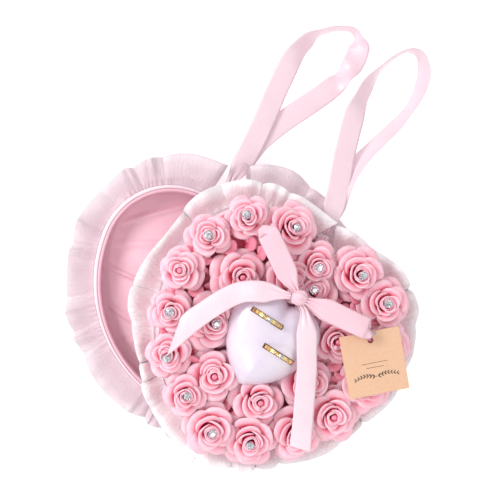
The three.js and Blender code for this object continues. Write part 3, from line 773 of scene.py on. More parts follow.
class PILLOW_OT_stage(bpy.types.Operator):
    """Sets the camera, a pale floor and soft studio light"""

    bl_idname = "pillow.stage"
    bl_label = "Stage"

    AZIMUTH, ELEVATION, ROLL = -98.802, 82.808, 106.55
    TARGET = Vector((0.02299, 0.04181, 0.03))
    FLOOR_SIDE, FLOOR_Z, FLOOR_GLOW = 6000, -0.3, 0.35
    SKY_LIGHT = 0.7
    # Name, place in metres along the camera's right, up and back, size and power.
    LAMPS = (
        ("key", (-0.75, 0.4, 0.85), 0.45, 7.5),
        ("fill", (0.8, -0.5, 0.9), 0.8, 2.6),
        ("glint", (-0.3, -0.42, 0.75), 0.14, 1.3),
    )

    def execute(self, context):
        scene = context.scene
        scene.view_settings.view_transform = "Standard"
        self.camera(scene)
        side = self.FLOOR_SIDE
        floor = grid(
            2, 2, lambda u, v: Vector(((u - 0.5) * side, (v - 0.5) * side, self.FLOOR_Z))
        )
        floor.transform(MM)
        mesh = bpy.data.meshes.new("floor")
        floor.to_mesh(mesh)
        floor.free()
        obj = bpy.data.objects.new("floor", mesh)
        scene.collection.objects.link(obj)
        mesh.materials.append(finish("Studio floor"))
        glow = mesh.materials[0].node_tree.nodes["Principled BSDF"].inputs
        glow["Emission Color"].default_value = (1, 1, 1, 1)
        glow["Emission Strength"].default_value = self.FLOOR_GLOW
        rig.stage(obj)
        world = bpy.data.worlds.new("Studio")
        world.use_nodes = True
        sky = world.node_tree.nodes["Background"].inputs
        sky["Color"].default_value = (1, 1, 1, 1)
        sky["Strength"].default_value = self.SKY_LIGHT
        scene.world = world
        for name, spot, size, power in self.LAMPS:
            self.lamp(scene, name, spot, size, power)
        return {"FINISHED"}

    def camera(self, scene):
        az, el, roll = (radians(a) for a in (self.AZIMUTH, self.ELEVATION, self.ROLL))
        back = Vector((sin(az) * cos(el), -cos(az) * cos(el), sin(el)))
        right = (-back).cross(Vector((0, 0, 1))).normalized()
        up = right.cross(-back)
        right, up = (
            right * cos(roll) + up * sin(roll),
            up * cos(roll) - right * sin(roll),
        )
        data = bpy.data.cameras.new("camera")
        data.lens = sizes().lens
        data.sensor_width = 36
        data.clip_start, data.clip_end = 0.01, 20
        obj = bpy.data.objects.new("camera", data)
        spot = self.TARGET + back * sizes().distance
        obj.matrix_world = Matrix(
            [(right[i], up[i], back[i], spot[i]) for i in range(3)] + [(0, 0, 0, 1)]
        )
        scene.collection.objects.link(obj)
        scene.camera = obj

    def lamp(self, scene, name, spot, size, power):
        data = bpy.data.lights.new(name, "AREA")
        data.size, data.energy = size, power
        obj = bpy.data.objects.new(name, data)
        aim = scene.camera.matrix_world.to_3x3() @ Vector(spot)
        obj.location = self.TARGET + aim
        obj.rotation_euler = (-aim).to_track_quat("-Z", "Y").to_euler()
        scene.collection.objects.link(obj)


# ---- Tag thread ----------------------------------------------------------------------


class PILLOW_OT_tag_thread(bpy.types.Operator):
    """Ties the gift tag to the bow knot with a thread"""

    bl_idname = "pillow.tag_thread"
    bl_label = "Tag thread"

    ROUTE = (
        (4.4, BOW_Y + 2.5, 2.1),
        (22, BOW_Y + 3, 1.9),
        (40, BOW_Y + 3, 1.9),
        (50, BOW_Y + 2, 2.1),
        (56, BOW_Y + 2, 2),
        (58, BOW_Y + 2, 0.6),
    )
    DIAMETER = 0.0011

    def execute(self, context):
        route = [LID @ Vector((x, y, ROSE_TOP + z)) for x, y, z in self.ROUTE]
        path = smooth_path([p * 1000 for p in route], 28)
        path = [p * 0.001 for p in path]
        curve = bpy.data.curves.new("tag_thread_cord", "CURVE")
        curve.dimensions = "3D"
        spline = curve.splines.new("POLY")
        spline.points.add(len(path) - 1)
        for point, place in zip(spline.points, path):
            point.co = (*place, 1)
        curve.bevel_depth = self.DIAMETER / 2
        curve.bevel_resolution = 3
        curve.use_fill_caps = True
        curve.materials.append(finish("Tag thread"))
        obj = bpy.data.objects.new("tag_thread_cord", curve)
        context.scene.collection.objects.link(obj)
        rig.ride(obj, "front_half")
        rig.slot(obj, "thread")
        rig.replaces(obj, "tag_thread")
        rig.cord(
            obj,
            exit=path[0],
            length=running_length(path)[-1],
            diameter=self.DIAMETER,
            far_end="object",
            stiffness="limp",
            lay="loose",
        )
        return {"FINISHED"}


# ---- Satin halves --------------------------------------------------------------------


def cup(half, layer, profile, cols, pucker, centre_z):
    """A heart-shaped satin cup. profile runs from the rim to the edge of its floor as (grow, z),
    and the floor closes at the heart's middle. pucker(u, flat, row) moves a point out and up,
    where row is 0 at the rim, 1 at the edge of the floor and 2 at its middle."""
    walls, floors = len(profile) - 1, 64
    rows = walls + floors

    def spot(u, v):
        row = round(v * rows)
        outline, normal = BODY.at(u), BODY.normal(u)
        grow, z = profile[min(row, walls)]
        flat = outline + normal * grow
        place = row / walls
        if row > walls:
            part = (row - walls) / floors
            place = 1 + part
            flat = flat.lerp(HEART_MIDDLE, part)
            z += (centre_z - z) * ease(part, 0, 0.6)
        out, up = pucker(u, flat, place)
        flat = flat + normal * out
        return Vector((flat.x, flat.y, z + up))

    bm = grid(cols, rows, spot, across=BODY.length, along=120, closed=True)
    return piece(
        bm,
        f"{half}_{layer}_satin",
        BACK if half == "back" else LID,
        "Outer satin" if layer == "cover" else "Lining satin",
        f"{half}_half",
        "outer_satin" if layer == "cover" else "lining_satin",
        (f"{half}_{layer}",),
        thick=0.7,
        offset=-1,
    )


class PILLOW_OT_covers(bpy.types.Operator):
    """Stretches the outer satin over both halves, with small gathers"""

    bl_idname = "pillow.covers"
    bl_label = "Outer covers"

    CUT = 190
    FACE_AREA = 0.72 * 160 * 158  # of the heart, in square millimetres
    BACK_WALL = (
        (0, 22), (0.1, 18), (0.2, 13), (0.2, 8), (0.1, 4), (-0.3, 1.6), (-1.4, 0.4), (-4, 0.12),
    )
    FRONT_WALL = (
        (0, 3), (0.1, 6), (0.2, 10), (0.1, 14), (-0.4, 16.6), (-1.5, 17.7), (-4, 18),
    )

    def execute(self, context):
        # Each half's wall, middle of its floor, seed, and depth of cloth up its wall.
        for half, wall, centre_z, seed, depth in (
            ("back", self.BACK_WALL, 0.12, 3, 26),
            ("front", self.FRONT_WALL, 18.0, 9, 22),
        ):
            def pucker(u, flat, row, seed=seed):
                tug = soft_noise(u * 150, row * 0.7, seed)
                long_pull = soft_noise(u * 40, row * 1.8, seed + 5)
                return (0.16 * tug + 0.2 * long_pull) * (row < 1.2) - 0.1, 0.0

            cover = cup(half, "cover", wall, 560, pucker, centre_z)
            area = self.FACE_AREA + BODY.length * depth
            sheet_of(cover, self.CUT, self.CUT, "stretched", (f"{half}_shell",), area)
        return {"FINISHED"}


class PILLOW_OT_linings(bpy.types.Operator):
    """Lays the darker satin lining over its padding, with pulls and creases"""

    bl_idname = "pillow.linings"
    bl_label = "Linings"

    CUT = 175
    FACE_AREA = 0.68 * 152 * 150  # of the inner heart, in square millimetres
    BACK_WALL = (
        (-1.3, 23.4), (-1.9, 24.3), (-3.0, 24.4), (-3.8, 23.7), (-3.95, 22), (-3.9, 20),
        (-4.0, 17), (-4.1, 14), (-4.3, 11), (-4.9, 9), (-6.6, 7.9),
    )
    FRONT_WALL = ((-3.9, 2.8), (-3.9, 6), (-4.0, 9), (-4.3, 11.6), (-5.0, 13), (-6.8, 13.7))
    # Long soft creases, as start, end, width and height.
    CREASES = (
        ((-66, 128), (-20, 147), 2.2, 1.1),
        ((-76, 96), (-40, 86), 1.8, 1.2),
        ((-70, 112), (-30, 118), 2.6, 0.6),
        ((-72, 70), (-44, 56), 2.2, 0.8),
        ((-52, 44), (-22, 60), 2.4, 0.7),
        ((66, 128), (24, 140), 2.4, 0.9),
        ((74, 90), (40, 84), 2.2, 0.9),
        ((-10, 30), (6, 60), 2.6, 0.6),
    )
    CREASE_DEPTH = 2.4  # times each crease's height

    def execute(self, context):
        # Each half's wall, middle of its floor, seed, way up, padding and depth up its wall.
        for half, wall, centre_z, seed, sign, pad, depth, under in (
            ("back", self.BACK_WALL, 7.9, 1.5, 1, 8.0, 20, "back_wadding"),
            ("front", self.FRONT_WALL, 13.7, 6.5, -1, 0.6, 14, "front_shell"),
        ):
            def pucker(u, flat, row, seed=seed, sign=sign, pad=pad):
                pull = soft_noise(u * 70, row * 0.5, seed)
                out = -0.5 * abs(pull) * ease(row, 0.1, 0.8) if row <= 1 else 0.0
                up = pad * ease(row - 1, 0, 0.5) + self.creases(flat)
                up += 0.35 * soft_noise(flat.x * 0.05, flat.y * 0.05, seed)
                return out, sign * up * ease(row, 0.7, 1.1)

            lining = cup(half, "lining", wall, 420, pucker, centre_z)
            area = self.FACE_AREA + BODY.length * depth
            sheet_of(lining, self.CUT, self.CUT, "laid", (under,), area)
        return {"FINISHED"}

    def creases(self, flat):
        """How far the creases raise a point: a ridge with a shallow trough beside it."""
        up = 0.0
        for start, end, wide, high in self.CREASES:
            a, b = Vector(start), Vector(end)
            span = b - a
            t = max(0.0, min(1.0, (flat - a).dot(span) / span.length_squared))
            gap = (flat - (a + span * t)).length / wide
            fade = sin(pi * min(max(t, 0.04), 0.96)) ** 0.5
            ridge = exp(-gap * gap) - 0.5 * exp(-gap * gap / 6)
            up += high * fade * ridge * self.CREASE_DEPTH
        return up


class PILLOW_OT_pipings(bpy.types.Operator):
    """Runs a satin-covered cord round both rims"""

    bl_idname = "pillow.pipings"
    bl_label = "Rim pipings"

    RADIUS, INWARDS = 0.85, 0.55

    def execute(self, context):
        for half, place, z, seed in (("back", BACK, 23.7, 2), ("front", LID, 1.3, 8)):
            def spot(u, v, z=z, seed=seed):
                a = v * 2 * pi
                flat, normal = BODY.at(u), BODY.normal(u)
                tight = 1 + 0.07 * soft_noise(u * 260 + v * 3, v * 4, seed)
                grow = -self.INWARDS + self.RADIUS * cos(a) * tight
                return Vector((*(flat + normal * grow), z + self.RADIUS * sin(a) * tight))

            bm = grid(900, 14, spot, across=BODY.length, along=5.4, closed=True)
            piece(bm, f"{half}_piping_satin", place, "Outer satin", f"{half}_half",
                  "piping_satin", (f"{half}_piping",))
        return {"FINISHED"}


class PILLOW_OT_ruffles(bpy.types.Operator):
    """Gathers a satin ruffle round each half, open at the cleft"""

    bl_idname = "pillow.ruffles"
    bl_label = "Ruffles"

    FULLNESS = 1.35  # length of the strip over the seam it is gathered on

    def execute(self, context):
        # Each half's root and edge height, gaps left and right of the cleft, width and seed.
        for row in (
            # The back ruffle takes the copy of the ruffle satin with painted shade.
            ("back", BACK, "Back ruffle satin", 10.5, 17.5, 11, 21, 1.12, 4),
            ("front", LID, "Ruffle satin", 9.0, 16.5, 11, 11, 0.94, 11),
        ):
            self.ruffle(*row)
        return {"FINISHED"}

    def ruffle(self, half, place, satin_name, root, edge, left, right, share_of_width, seed):
        rng = random.Random(seed)
        start = 0.5 + left / BODY.length
        span = 1.5 - right / BODY.length - start
        folds, swing = sizes().folds, size("ruffle_swing")
        width = size("ruffle_width") * share_of_width
        _, ripple_phase, tuck_phase, sway_phase = (rng.uniform(0, ANY_TURN) for _ in range(4))

        def lobes(beat):
            return 2 * abs(sin(beat / 2)) ** 0.8 - 1

        def spot(u, v):
            share = start + span * u
            flat, normal = BODY.at(share), BODY.normal(share)
            along = Vector((-normal.y, normal.x))
            beat = 2 * pi * (folds * u + 1.1 * soft_noise(u * 13, 0.3, seed))
            depth = 0.75 + 0.9 * soft_noise(u * 9, 2.0, seed + 3)
            wave = depth * lobes(beat)
            wave += 0.35 * sin(2.3 * beat + ripple_phase) * (1 - 0.5 * v)
            tucks = 0.3 * sin(5.1 * beat + tuck_phase) * (1 - ease(v, 0, 0.45))
            open_out = v**1.2
            near_end = exp(-min(u, 1 - u) * BODY.length / 8)
            uneven = 0.34 * soft_noise(u * 12, 5.0, seed)
            reach = width * (1.0 + uneven + 0.07 * lobes(beat) + 0.3 * near_end)
            sway = 2.6 * open_out * sin(beat + sway_phase) * depth
            flat = flat + normal * (0.9 + reach * v) + along * sway
            z = root + 1.4 + (edge - root) * ease(v, 0, 0.9) - 1.8 * v * v
            z += swing * open_out * wave + tucks
            z += 1.6 * soft_noise(u * 46, v * 1.6, seed + 9) * v**0.7
            return Vector((flat.x, flat.y, z))

        length = BODY.length * span * self.FULLNESS
        bm = grid(1500, 22, spot, across=length, along=width)
        obj = piece(bm, f"{half}_ruffle_satin", place, satin_name, f"{half}_half",
                    "ruffle_satin", (f"{half}_ruffle",), thick=size("cloth"))
        sheet_of(obj, width, length, "gathered", (f"{half}_cover",))


class PILLOW_OT_inner_layers(bpy.types.Operator):
    """Gives the board shells, the wadding and the pearl heart's base their finishes"""

    bl_idname = "pillow.inner_layers"
    bl_label = "Inner layers"

    def execute(self, context):
        for name, finish_name in (
            ("back_shell", "Grey board"),
            ("front_shell", "Grey board"),
            ("back_wadding", "White wadding"),
            ("pearl_heart_base", "White card"),
        ):
            mesh = frame["nodes"][name].data
            mesh.materials.clear()
            mesh.materials.append(finish(finish_name))
        return {"FINISHED"}


# ---- Ribbons -------------------------------------------------------------------------


def ribbon(name, route, steps, width, place, satin_name, body, held, rests_on, thick, **shape):
    """Lays a ribbon along a route, as a piece and a declared sheet."""
    bm, length = strip(smooth_path(route, steps), width, **shape)
    obj = piece(bm, f"{name}_ribbon", place, satin_name, body, "ribbon", (name,), thick=thick)
    sheet_of(obj, width, length, held, rests_on)


class PILLOW_OT_hinge(bpy.types.Operator):
    """Sews the three ribbons of the tip hinge"""

    bl_idname = "pillow.hinge"
    bl_label = "Tip hinge"

    THICK = 0.6

    def execute(self, context):
        tab = turned(LID_X, (SWIVEL.x, SWIVEL.y, 0)) @ MM
        for name, place, body, width, first, last, z, round_end, sewn_to in (
            ("hinge_anchor", BACK, "back_half", 14, -0.8, -30.4, 22.1, 0, "back_cover"),
            ("hinge_tab", tab, "hinge_tab", 16, 7.6, -10, 24.0, 1, "hinge_anchor"),
            ("hinge_flap", LID, "front_half", 16, -0.8, -23.8, 0.5, 0, "front_cover"),
        ):
            route = [(0, first, z), (0, (first + last) / 2, z), (0, last, z)]

            def taper(u, round_end=round_end):
                rounded = round_end and u < 0.45
                return max(sqrt(1 - (1 - u / 0.45) ** 2), 0.15) if rounded else 1.0

            ribbon(name, route, 24, width, place, "Ruffle satin", body, "stretched", (sewn_to,),
                   self.THICK, seed=len(name), pinch=taper, wrinkle=0.12)
        return {"FINISHED"}


def gathered_knot(radius, length, seed, ridges=9):
    """A ribbon pulled round and tied, from y = 0 outwards, about the Y axis."""

    def spot(u, v):
        a = u * 2 * pi
        swell = sin(pi * min(max(v, 0.0), 1.0)) ** 0.55
        body = radius * (0.42 + 0.62 * swell)
        crease = 0.11 * radius * sin(ridges * a + 3.5 * v + seed)
        dent = 0.16 * radius * soft_noise(cos(a), sin(a) + seed, v * 3)
        r = (body + (crease + dent) * (0.4 + 0.6 * swell)) * (0.02 if v in (0.0, 1.0) else 1.0)
        return Vector((r * cos(a), v * length, r * sin(a)))

    return grid(56, 18, spot, across=2 * pi * radius, along=length, closed=True)


class PILLOW_OT_handles(bpy.types.Operator):
    """Loops a ribbon handle out of each half's cleft"""

    bl_idname = "pillow.handles"
    bl_label = "Handles"

    BACK_LEAN = -30  # degrees, of the back handle's own line
    KNOT_RADIUS = 3.4
    TUCK = 2  # how far the ribbon reaches into its knot

    # Each route is (x, y, z) beside the handle's own line, from its root out and back again.
    BACK_ROUTE = (
        (-1, 2, 1.2), (-3, 20, 2.0), (-6, 38, 2.2), (-11, 60, 1.6), (-17, 84, 1), (-21, 106, 0.6),
        (-18.5, 124, 0.6), (-9, 139, 0.4), (3, 146, 0.2), (13, 138, 0.2), (16.5, 121, 0.2),
        (14, 102, 0), (8, 82, -0.4), (1.5, 62, -1.2), (-3, 42, -1.6), (-3, 22, -1.8),
        (-1, 2, -1.4),
    )
    BACK_ROLL = (
        (0, 4), (0.3, 4), (0.38, 42), (0.43, 80), (0.52, 84), (0.55, 24), (0.585, 12), (0.62, 50),
        (0.66, 14), (0.76, 8), (1, 3),
    )
    FRONT_ROUTE = (
        (0, 2, 1.2), (-3, 22, 2.0), (-8, 42, 2.0), (-13.5, 62, 1.6), (-18.5, 90, 1),
        (-18, 112, 0.6), (-13, 130, 0.5), (-4, 143, 0.3), (6, 145, 0.2), (14, 134, 0.2),
        (16.5, 116, 0), (12.5, 96, -0.2), (6, 77, -0.8), (-0.5, 58, -1.6), (-3, 40, -1.8),
        (-2, 22, -1.8), (0, 2, -1.4),
    )
    FRONT_ROLL = (
        (0, 4), (0.26, 4), (0.34, 45), (0.42, 78), (0.5, 82), (0.56, 66), (0.64, 72), (0.72, 62),
        (0.86, 50), (0.94, 15), (1, 3),
    )

    def execute(self, context):
        swing = JOINTS["front_handle_swing"]
        axis = Vector(swing["axis"])
        front_root = Vector(swing["pos_m"])
        back_root = Vector(JOINTS["back_handle_swing"]["pos_m"])
        lean = radians(self.BACK_LEAN)
        back_axis = (cos(lean), sin(lean), 0)
        for name, x_axis, root, route, roll, seed in (
            ("back_handle", back_axis, back_root, self.BACK_ROUTE, self.BACK_ROLL, 1),
            ("front_handle", axis, front_root, self.FRONT_ROUTE, self.FRONT_ROLL, 2),
        ):
            place = turned(x_axis, root) @ MM
            ribbon(
                name, [(x, y + HANDLE_KNOT - self.TUCK, z) for x, y, z in route], 260,
                size("ribbon_width"), place, "Handle satin", name, "hung", (f"{name}_knot",),
                size("cloth"), seed=seed, rows=10, camber=0.35, wrinkle=0.7,
                turn=lambda t, stops=roll: between(t, stops),
                pinch=lambda u: 0.34 + 0.66 * ease(min(u, 1 - u), 0.0, 0.075),
            )
            knot = gathered_knot(self.KNOT_RADIUS, HANDLE_KNOT, seed)
            piece(knot, f"{name}_knot_ribbon", place, "Handle satin", name, "ribbon",
                  (f"{name}_knot",))
        return {"FINISHED"}


class PILLOW_OT_bow(bpy.types.Operator):
    """Ties the ribbon bow: knot, two loops and two tails"""

    bl_idname = "pillow.bow"
    bl_label = "Bow"

    KNOT_RADIUS, KNOT_LENGTH = 4.9, 11
    # Name, length, bearing in degrees and seed.
    LOOPS = (("bow_loop_left", 43, 149, 5), ("bow_loop_right", 46, 8, 6))
    TAILS = (
        (
            "bow_tail_left",
            ((-5, 112.5, 5.0), (-11, 110, 4.2), (-20, 106, 3.4), (-36, 95, 2.4), (-49, 70, 1.8),
             (-58, 43, 1.6)),
            7,
        ),
        (
            "bow_tail_right",
            ((4, 111, 5.2), (9, 108, 4.6), (17, 98, 5.6), (32, 75, 3.8), (43, 56, 2.2),
             (57, 29, 1.6)),
            8,
        ),
    )

    def execute(self, context):
        width = size("bow_width")
        for name, length, turn, seed in self.LOOPS:
            place = LID @ placed(0, BOW_Y, BOW_Z + 0.4, turn)
            route = [
                (2.5, 0, 0.8), (9, 0.3, 2.0), (length * 0.45, 0.6, 3.4), (length * 0.75, 0.2, 3.8),
                (length + 2.4, 0, 2.6), (length + 4.4, 0, 0.2), (length + 2.4, 0, -2.4),
                (length * 0.75, -0.2, -3.2), (length * 0.45, -0.4, -2.6), (9, -0.3, -1.4),
                (2.5, 0, -0.8),
            ]
            ribbon(
                name, route, 150, width, place, "Ribbon satin", "front_half", "folded",
                ("bow_knot",), size("cloth"), seed=seed, camber=0.5, wrinkle=1.5,
                pinch=lambda u: 0.3 + 0.7 * ease(min(u, 1 - u), 0.0, 0.2),
            )
        for name, route, seed in self.TAILS:
            route = [(x, y, ROSE_TOP + z) for x, y, z in route]
            left = name.endswith("left")

            def cut(u, s, left=left):
                return (24.0 * (s - 0.2) if left else 3.0 * s) * ease(u, 0.62, 1.0)

            # The tails take the lighter copy of the bow ribbon, with painted sheen.
            ribbon(
                name, route, 130, width, LID, "Tail satin", "front_half", "draped",
                ("pearl_heart", "rose_1"), size("cloth"), seed=seed, camber=0.7, wrinkle=1.6,
                turn=lambda t, left=left: (14 if left else -10) * sin(pi * t),
                pinch=lambda u: 0.32 + 0.68 * ease(u, 0.0, 0.22),
                ends=cut,
            )
        knot = gathered_knot(self.KNOT_RADIUS, self.KNOT_LENGTH, 3, ridges=11)
        place = LID @ placed(-5.2, BOW_Y - 1.6, BOW_Z, -72)
        piece(knot, "bow_knot_ribbon", place, "Ribbon satin", "front_half", "ribbon",
              ("bow_knot",))
        return {"FINISHED"}


# ---- Roses ---------------------------------------------------------------------------


def add_rose(bm, radius, height, seed):
    """A rolled foam rose that stands at the origin: a coiled heart and rings of petals."""
    rng = random.Random(seed)
    start = rng.uniform(0, 2 * pi)
    hand = 1 if rng.random() < 0.5 else -1
    turns, core = 2.4, radius * 0.27

    def coil(u, v):
        a = start + hand * turns * 2 * pi * u
        r = 0.5 + core * (0.12 + 0.88 * u) + 0.12 * radius * v * (1 - u)
        top = height * (0.93 + 0.05 * sin(3 * a) - 0.06 * u)
        r += 0.5 * ease(v, 0.8, 1.0)
        z = height * 0.35 + (top - height * 0.35) * v
        return Vector((r * cos(a), r * sin(a), z))

    def plug(u, v):
        a, r = 2 * pi * u, 0.02 + 1.7 * v
        return Vector((r * cos(a), r * sin(a), height * (0.91 - 0.05 * v)))

    # Painted shade: the coil is darker low down and lighter at its top, and the plug has middling painted shade.
    add_grid(bm, 64, 5, coil, shade=lambda u, v: 0.25 + 0.7 * ease(v, 0.55, 1.0))
    add_grid(bm, 12, 2, plug, shade=lambda u, v: 0.6)
    # Rings of petals: count, foot and rim radius as shares, foot and rim height, width, curl.
    rings = (
        (2, 0.2, 0.31, 0.3, 1.0, 205, 0.02),
        (3, 0.27, 0.47, 0.22, 0.98, 150, 0.05),
        (3, 0.34, 0.68, 0.14, 0.9, 142, 0.1),
        (4, 0.42, 0.94, 0.08, 0.74, 112, 0.16),
        (5, 0.44, 1.14, 0.02, 0.5, 92, 0.16),
    )
    for count, foot, rim, low, high, wide, curl in rings:
        offset = rng.uniform(0, 2 * pi)
        shift = Vector((rng.uniform(-1, 1), rng.uniform(-1, 1), 0)) * radius * 0.045
        for k in range(count):
            centre = offset + 2 * pi * (k + rng.uniform(-0.14, 0.14)) / count
            span = radians(wide * rng.uniform(0.92, 1.08))
            tall = high * rng.uniform(0.94, 1.03)
            flare = rim * rng.uniform(0.92, 1.06)
            phase = rng.uniform(0, ANY_TURN)
            point = rng.uniform(0.05, 0.16)

            def petal(u, v):
                side = 2 * u - 1
                rise = v * (1 - 0.3 * abs(side) ** 2.6)
                a = centre + hand * side * span / 2 * (0.8 + 0.2 * v)
                roll = ease(rise, 0.66, 1.0)
                r = radius * (foot + (flare - foot) * rise**1.5)
                r += radius * curl * roll * (1 - 0.5 * side * side)
                r += radius * (0.05 * side + 0.03 * sin(4 * side + phase) * v)
                z = height * (low + (tall - low) * rise**0.8)
                z -= height * curl * 0.8 * roll * roll + height * point * v * abs(side) ** 1.5
                return Vector((r * cos(a), r * sin(a), z)) + shift

            # Painted shade darkens each petal at its foot, fading to the pale rim.
            add_grid(bm, 18, 10, petal, shade=lambda u, v: 0.05 + 0.95 * ease(v, 0.25, 0.97))


BORDER_ROSES, INNER_ROSES = 16, 8
CLEFT_ROSE = 8  # counted from the tip; it is smaller and leans inwards
BORDER_HEIGHT, INNER_HEIGHT = 23.4, 21.6
OUTLINE_STEPS = 720


def rose_places():
    """Where each rose stands, as node: (matrix in millimetres, radius, height)."""

    def beside(loop, gap):
        shares = [i / OUTLINE_STEPS for i in range(OUTLINE_STEPS)]
        return Loop([loop.at(share) + loop.normal(share) * gap for share in shares])

    border, around = beside(BODY, -8.5), beside(PEARL, 11)
    rng = random.Random(17)
    places = {}

    def stand(node, spot, outward, radius, height):
        lean_x = radians(rng.uniform(-6, 6) - 8 * outward.y)
        lean_y = radians(rng.uniform(-6, 6) + 8 * outward.x)
        lean = Matrix.Rotation(lean_x, 4, "X") @ Matrix.Rotation(lean_y, 4, "Y")
        places[node] = (LID @ placed(spot.x, spot.y, ROSE_FOOT) @ lean, radius, height)

    for i in range(BORDER_ROSES):
        cleft, share = i == CLEFT_ROSE, i / BORDER_ROSES
        radius = size("rose_radius") * (0.86 if i > 9 or cleft else 1.08)
        outward = border.normal(share) * (-0.6 if cleft else 1)
        stand(f"rose_{i + 1}", border.at(share), outward, radius, BORDER_HEIGHT)
    for i in range(INNER_ROSES):
        spot = around.at((i + 0.5) / INNER_ROSES) + Vector((0, PEARL_TIP))
        stand(f"rosebud_{i + 1}", spot, Vector((0, 0)), size("bud_radius"), INNER_HEIGHT)
    return places


class PILLOW_OT_roses(bpy.types.Operator):
    """Plants the foam roses on their bed"""

    bl_idname = "pillow.roses"
    bl_label = "Roses"

    # The loose petals stand in staggered rows.
    ROWS, COLS, STEP_X, STEP_Y = 18, 19, 8.6, 8.2

    def execute(self, context):
        self.bed()
        for k, (node, (place, radius, height)) in enumerate(rose_places().items()):
            bm = bmesh.new()
            add_rose(bm, radius, height, 100 + k)
            obj = piece(bm, f"{node}_petals", place, "Petal foam", "front_half", "rose_foam",
                        (node,), thick=size("petal"))
            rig.padded(obj, fill=0.4)
        return {"FINISHED"}

    def bed(self):
        """The bed, with loose petals that stand between the roses."""
        sides = 0.12  # of the way in, in rows

        def spot(u, v):
            flat = BODY.at(u) - BODY.normal(u) * 2
            z = 18.4
            if v > sides:
                flat = flat.lerp(HEART_MIDDLE, (v - sides) / (1 - sides))
                z = 21.8 + 0.5 * soft_noise(flat.x * 0.1, flat.y * 0.1, 4)
            elif v > 0.05:
                z = 21.0
            return Vector((flat.x, flat.y, z))

        # The bed takes a middling painted shade, as it lies under the roses.
        bm = grid(300, 25, spot, closed=True, shade=lambda u, v: 0.45)
        rng = random.Random(5)
        shares = [i / 120 for i in range(120)]
        up = Vector((0, PEARL_TIP))
        outline = [BODY.at(share) - BODY.normal(share) * 7 for share in shares]
        inner = [PEARL.at(share) + PEARL.normal(share) * 2 + up for share in shares]
        for row in range(self.ROWS):
            for col in range(self.COLS):
                along = col - self.COLS // 2 + 0.5 * (row % 2)
                foot = Vector((along * self.STEP_X, 2 + row * self.STEP_Y))
                foot += Vector((rng.uniform(-1.5, 1.5), rng.uniform(-1.5, 1.5)))
                turn, tall = rng.uniform(0, ANY_TURN), rng.uniform(8, 13)
                if inside(foot, outline) and not inside(foot, inner):
                    self.loose_petal(bm, foot, turn, tall)
        obj = piece(bm, "rose_bed_foam", LID, "Petal foam", "front_half", "rose_foam_dark",
                    ("rose_bed",), thick=0.8, offset=-1)
        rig.padded(obj, fill=0.5)

    def loose_petal(self, bm, foot, turn, tall):
        def petal(u, v):
            side = 2 * u - 1
            rise = v * (1 - 0.3 * abs(side) ** 2.6)
            a = turn + side * 1.25
            r = 1.8 + 5.2 * rise**1.4 + 1.8 * ease(rise, 0.7, 1.0)
            z = 21.6 + tall * rise**0.8 - 1.2 * ease(rise, 0.75, 1.0)
            return Vector((foot.x + r * cos(a), foot.y + r * sin(a), z))

        # Painted shade darkens the loose petal at its foot, lighter towards its top.
        add_grid(bm, 10, 7, petal, shade=lambda u, v: 0.1 + 0.65 * v)


class PILLOW_OT_crystals(bpy.types.Operator):
    """Pins cut crystals in silver cups into the roses"""

    bl_idname = "pillow.crystals"
    bl_label = "Crystals"

    BARE = (4, 13)  # border roses without a crystal
    SMALL = (2, 4, 7)  # inner roses with one

    def execute(self, context):
        names = [f"rose_{i}" for i in range(1, BORDER_ROSES + 1) if i not in self.BARE]
        names += [f"rosebud_{i}" for i in self.SMALL]
        places = rose_places()
        for k, name in enumerate(names):
            place, _, height = places[name]
            rng = random.Random(40 + k)
            off = placed(rng.uniform(-1.2, 1.2), rng.uniform(-1.2, 1.2), height - 0.1)
            bm = bmesh.new()
            add_crystal(bm, size("crystal"), rng.uniform(0, 1))
            tilt = Matrix.Rotation(rng.uniform(-0.25, 0.25), 4, "X")
            tilt = tilt @ Matrix.Rotation(rng.uniform(-0.25, 0.25), 4, "Y")
            piece(bm, f"{name}_crystal", place @ off @ tilt, ("Cup silver", "Cut crystal"),
                  "front_half", "crystal", smooth=False)
        return {"FINISHED"}


def add_cone(bm, segments, low, high, depth, place, index=0):
    """Adds a closed cone about the middle of its height, with a material index."""
    made = bmesh.ops.create_cone(
        bm, cap_ends=True, cap_tris=False, segments=segments, radius1=low, radius2=high,
        depth=depth, matrix=place,
    )["verts"]
    for face in {face for vert in made for face in vert.link_faces}:
        face.material_index = index


def add_crystal(bm, radius, turn, cup_depth=1.6):
    """A brilliant-cut stone, material 1, in a clawed cup, material 0. Its girdle is at z = 0."""
    spin = Matrix.Rotation(turn * pi, 4, "Z")
    for segments, low, high, depth, z, index in (
        (10, radius * 0.86, radius * 0.5, 0.42 * radius, 0.21 * radius, 1),
        (10, radius * 0.3, radius * 0.86, 0.5 * radius, -0.25 * radius, 1),
        (16, radius * 0.45, radius * 0.95, cup_depth, -cup_depth / 2 - 0.12 * radius, 0),
        (6, 0.35, 0.35, 5.0, -cup_depth - 2.2, 0),
    ):
        add_cone(bm, segments, low, high, depth, placed(0, 0, z) @ spin, index)
    claws, out = 8, radius * 0.84
    for k in range(claws):
        a = 2 * pi * (k + turn) / claws
        place = placed(out * cos(a), out * sin(a), 0.06 * radius)
        bmesh.ops.create_icosphere(bm, subdivisions=1, radius=radius * 0.13, matrix=place)


# ---- Pearl heart and rings -----------------------------------------------------------


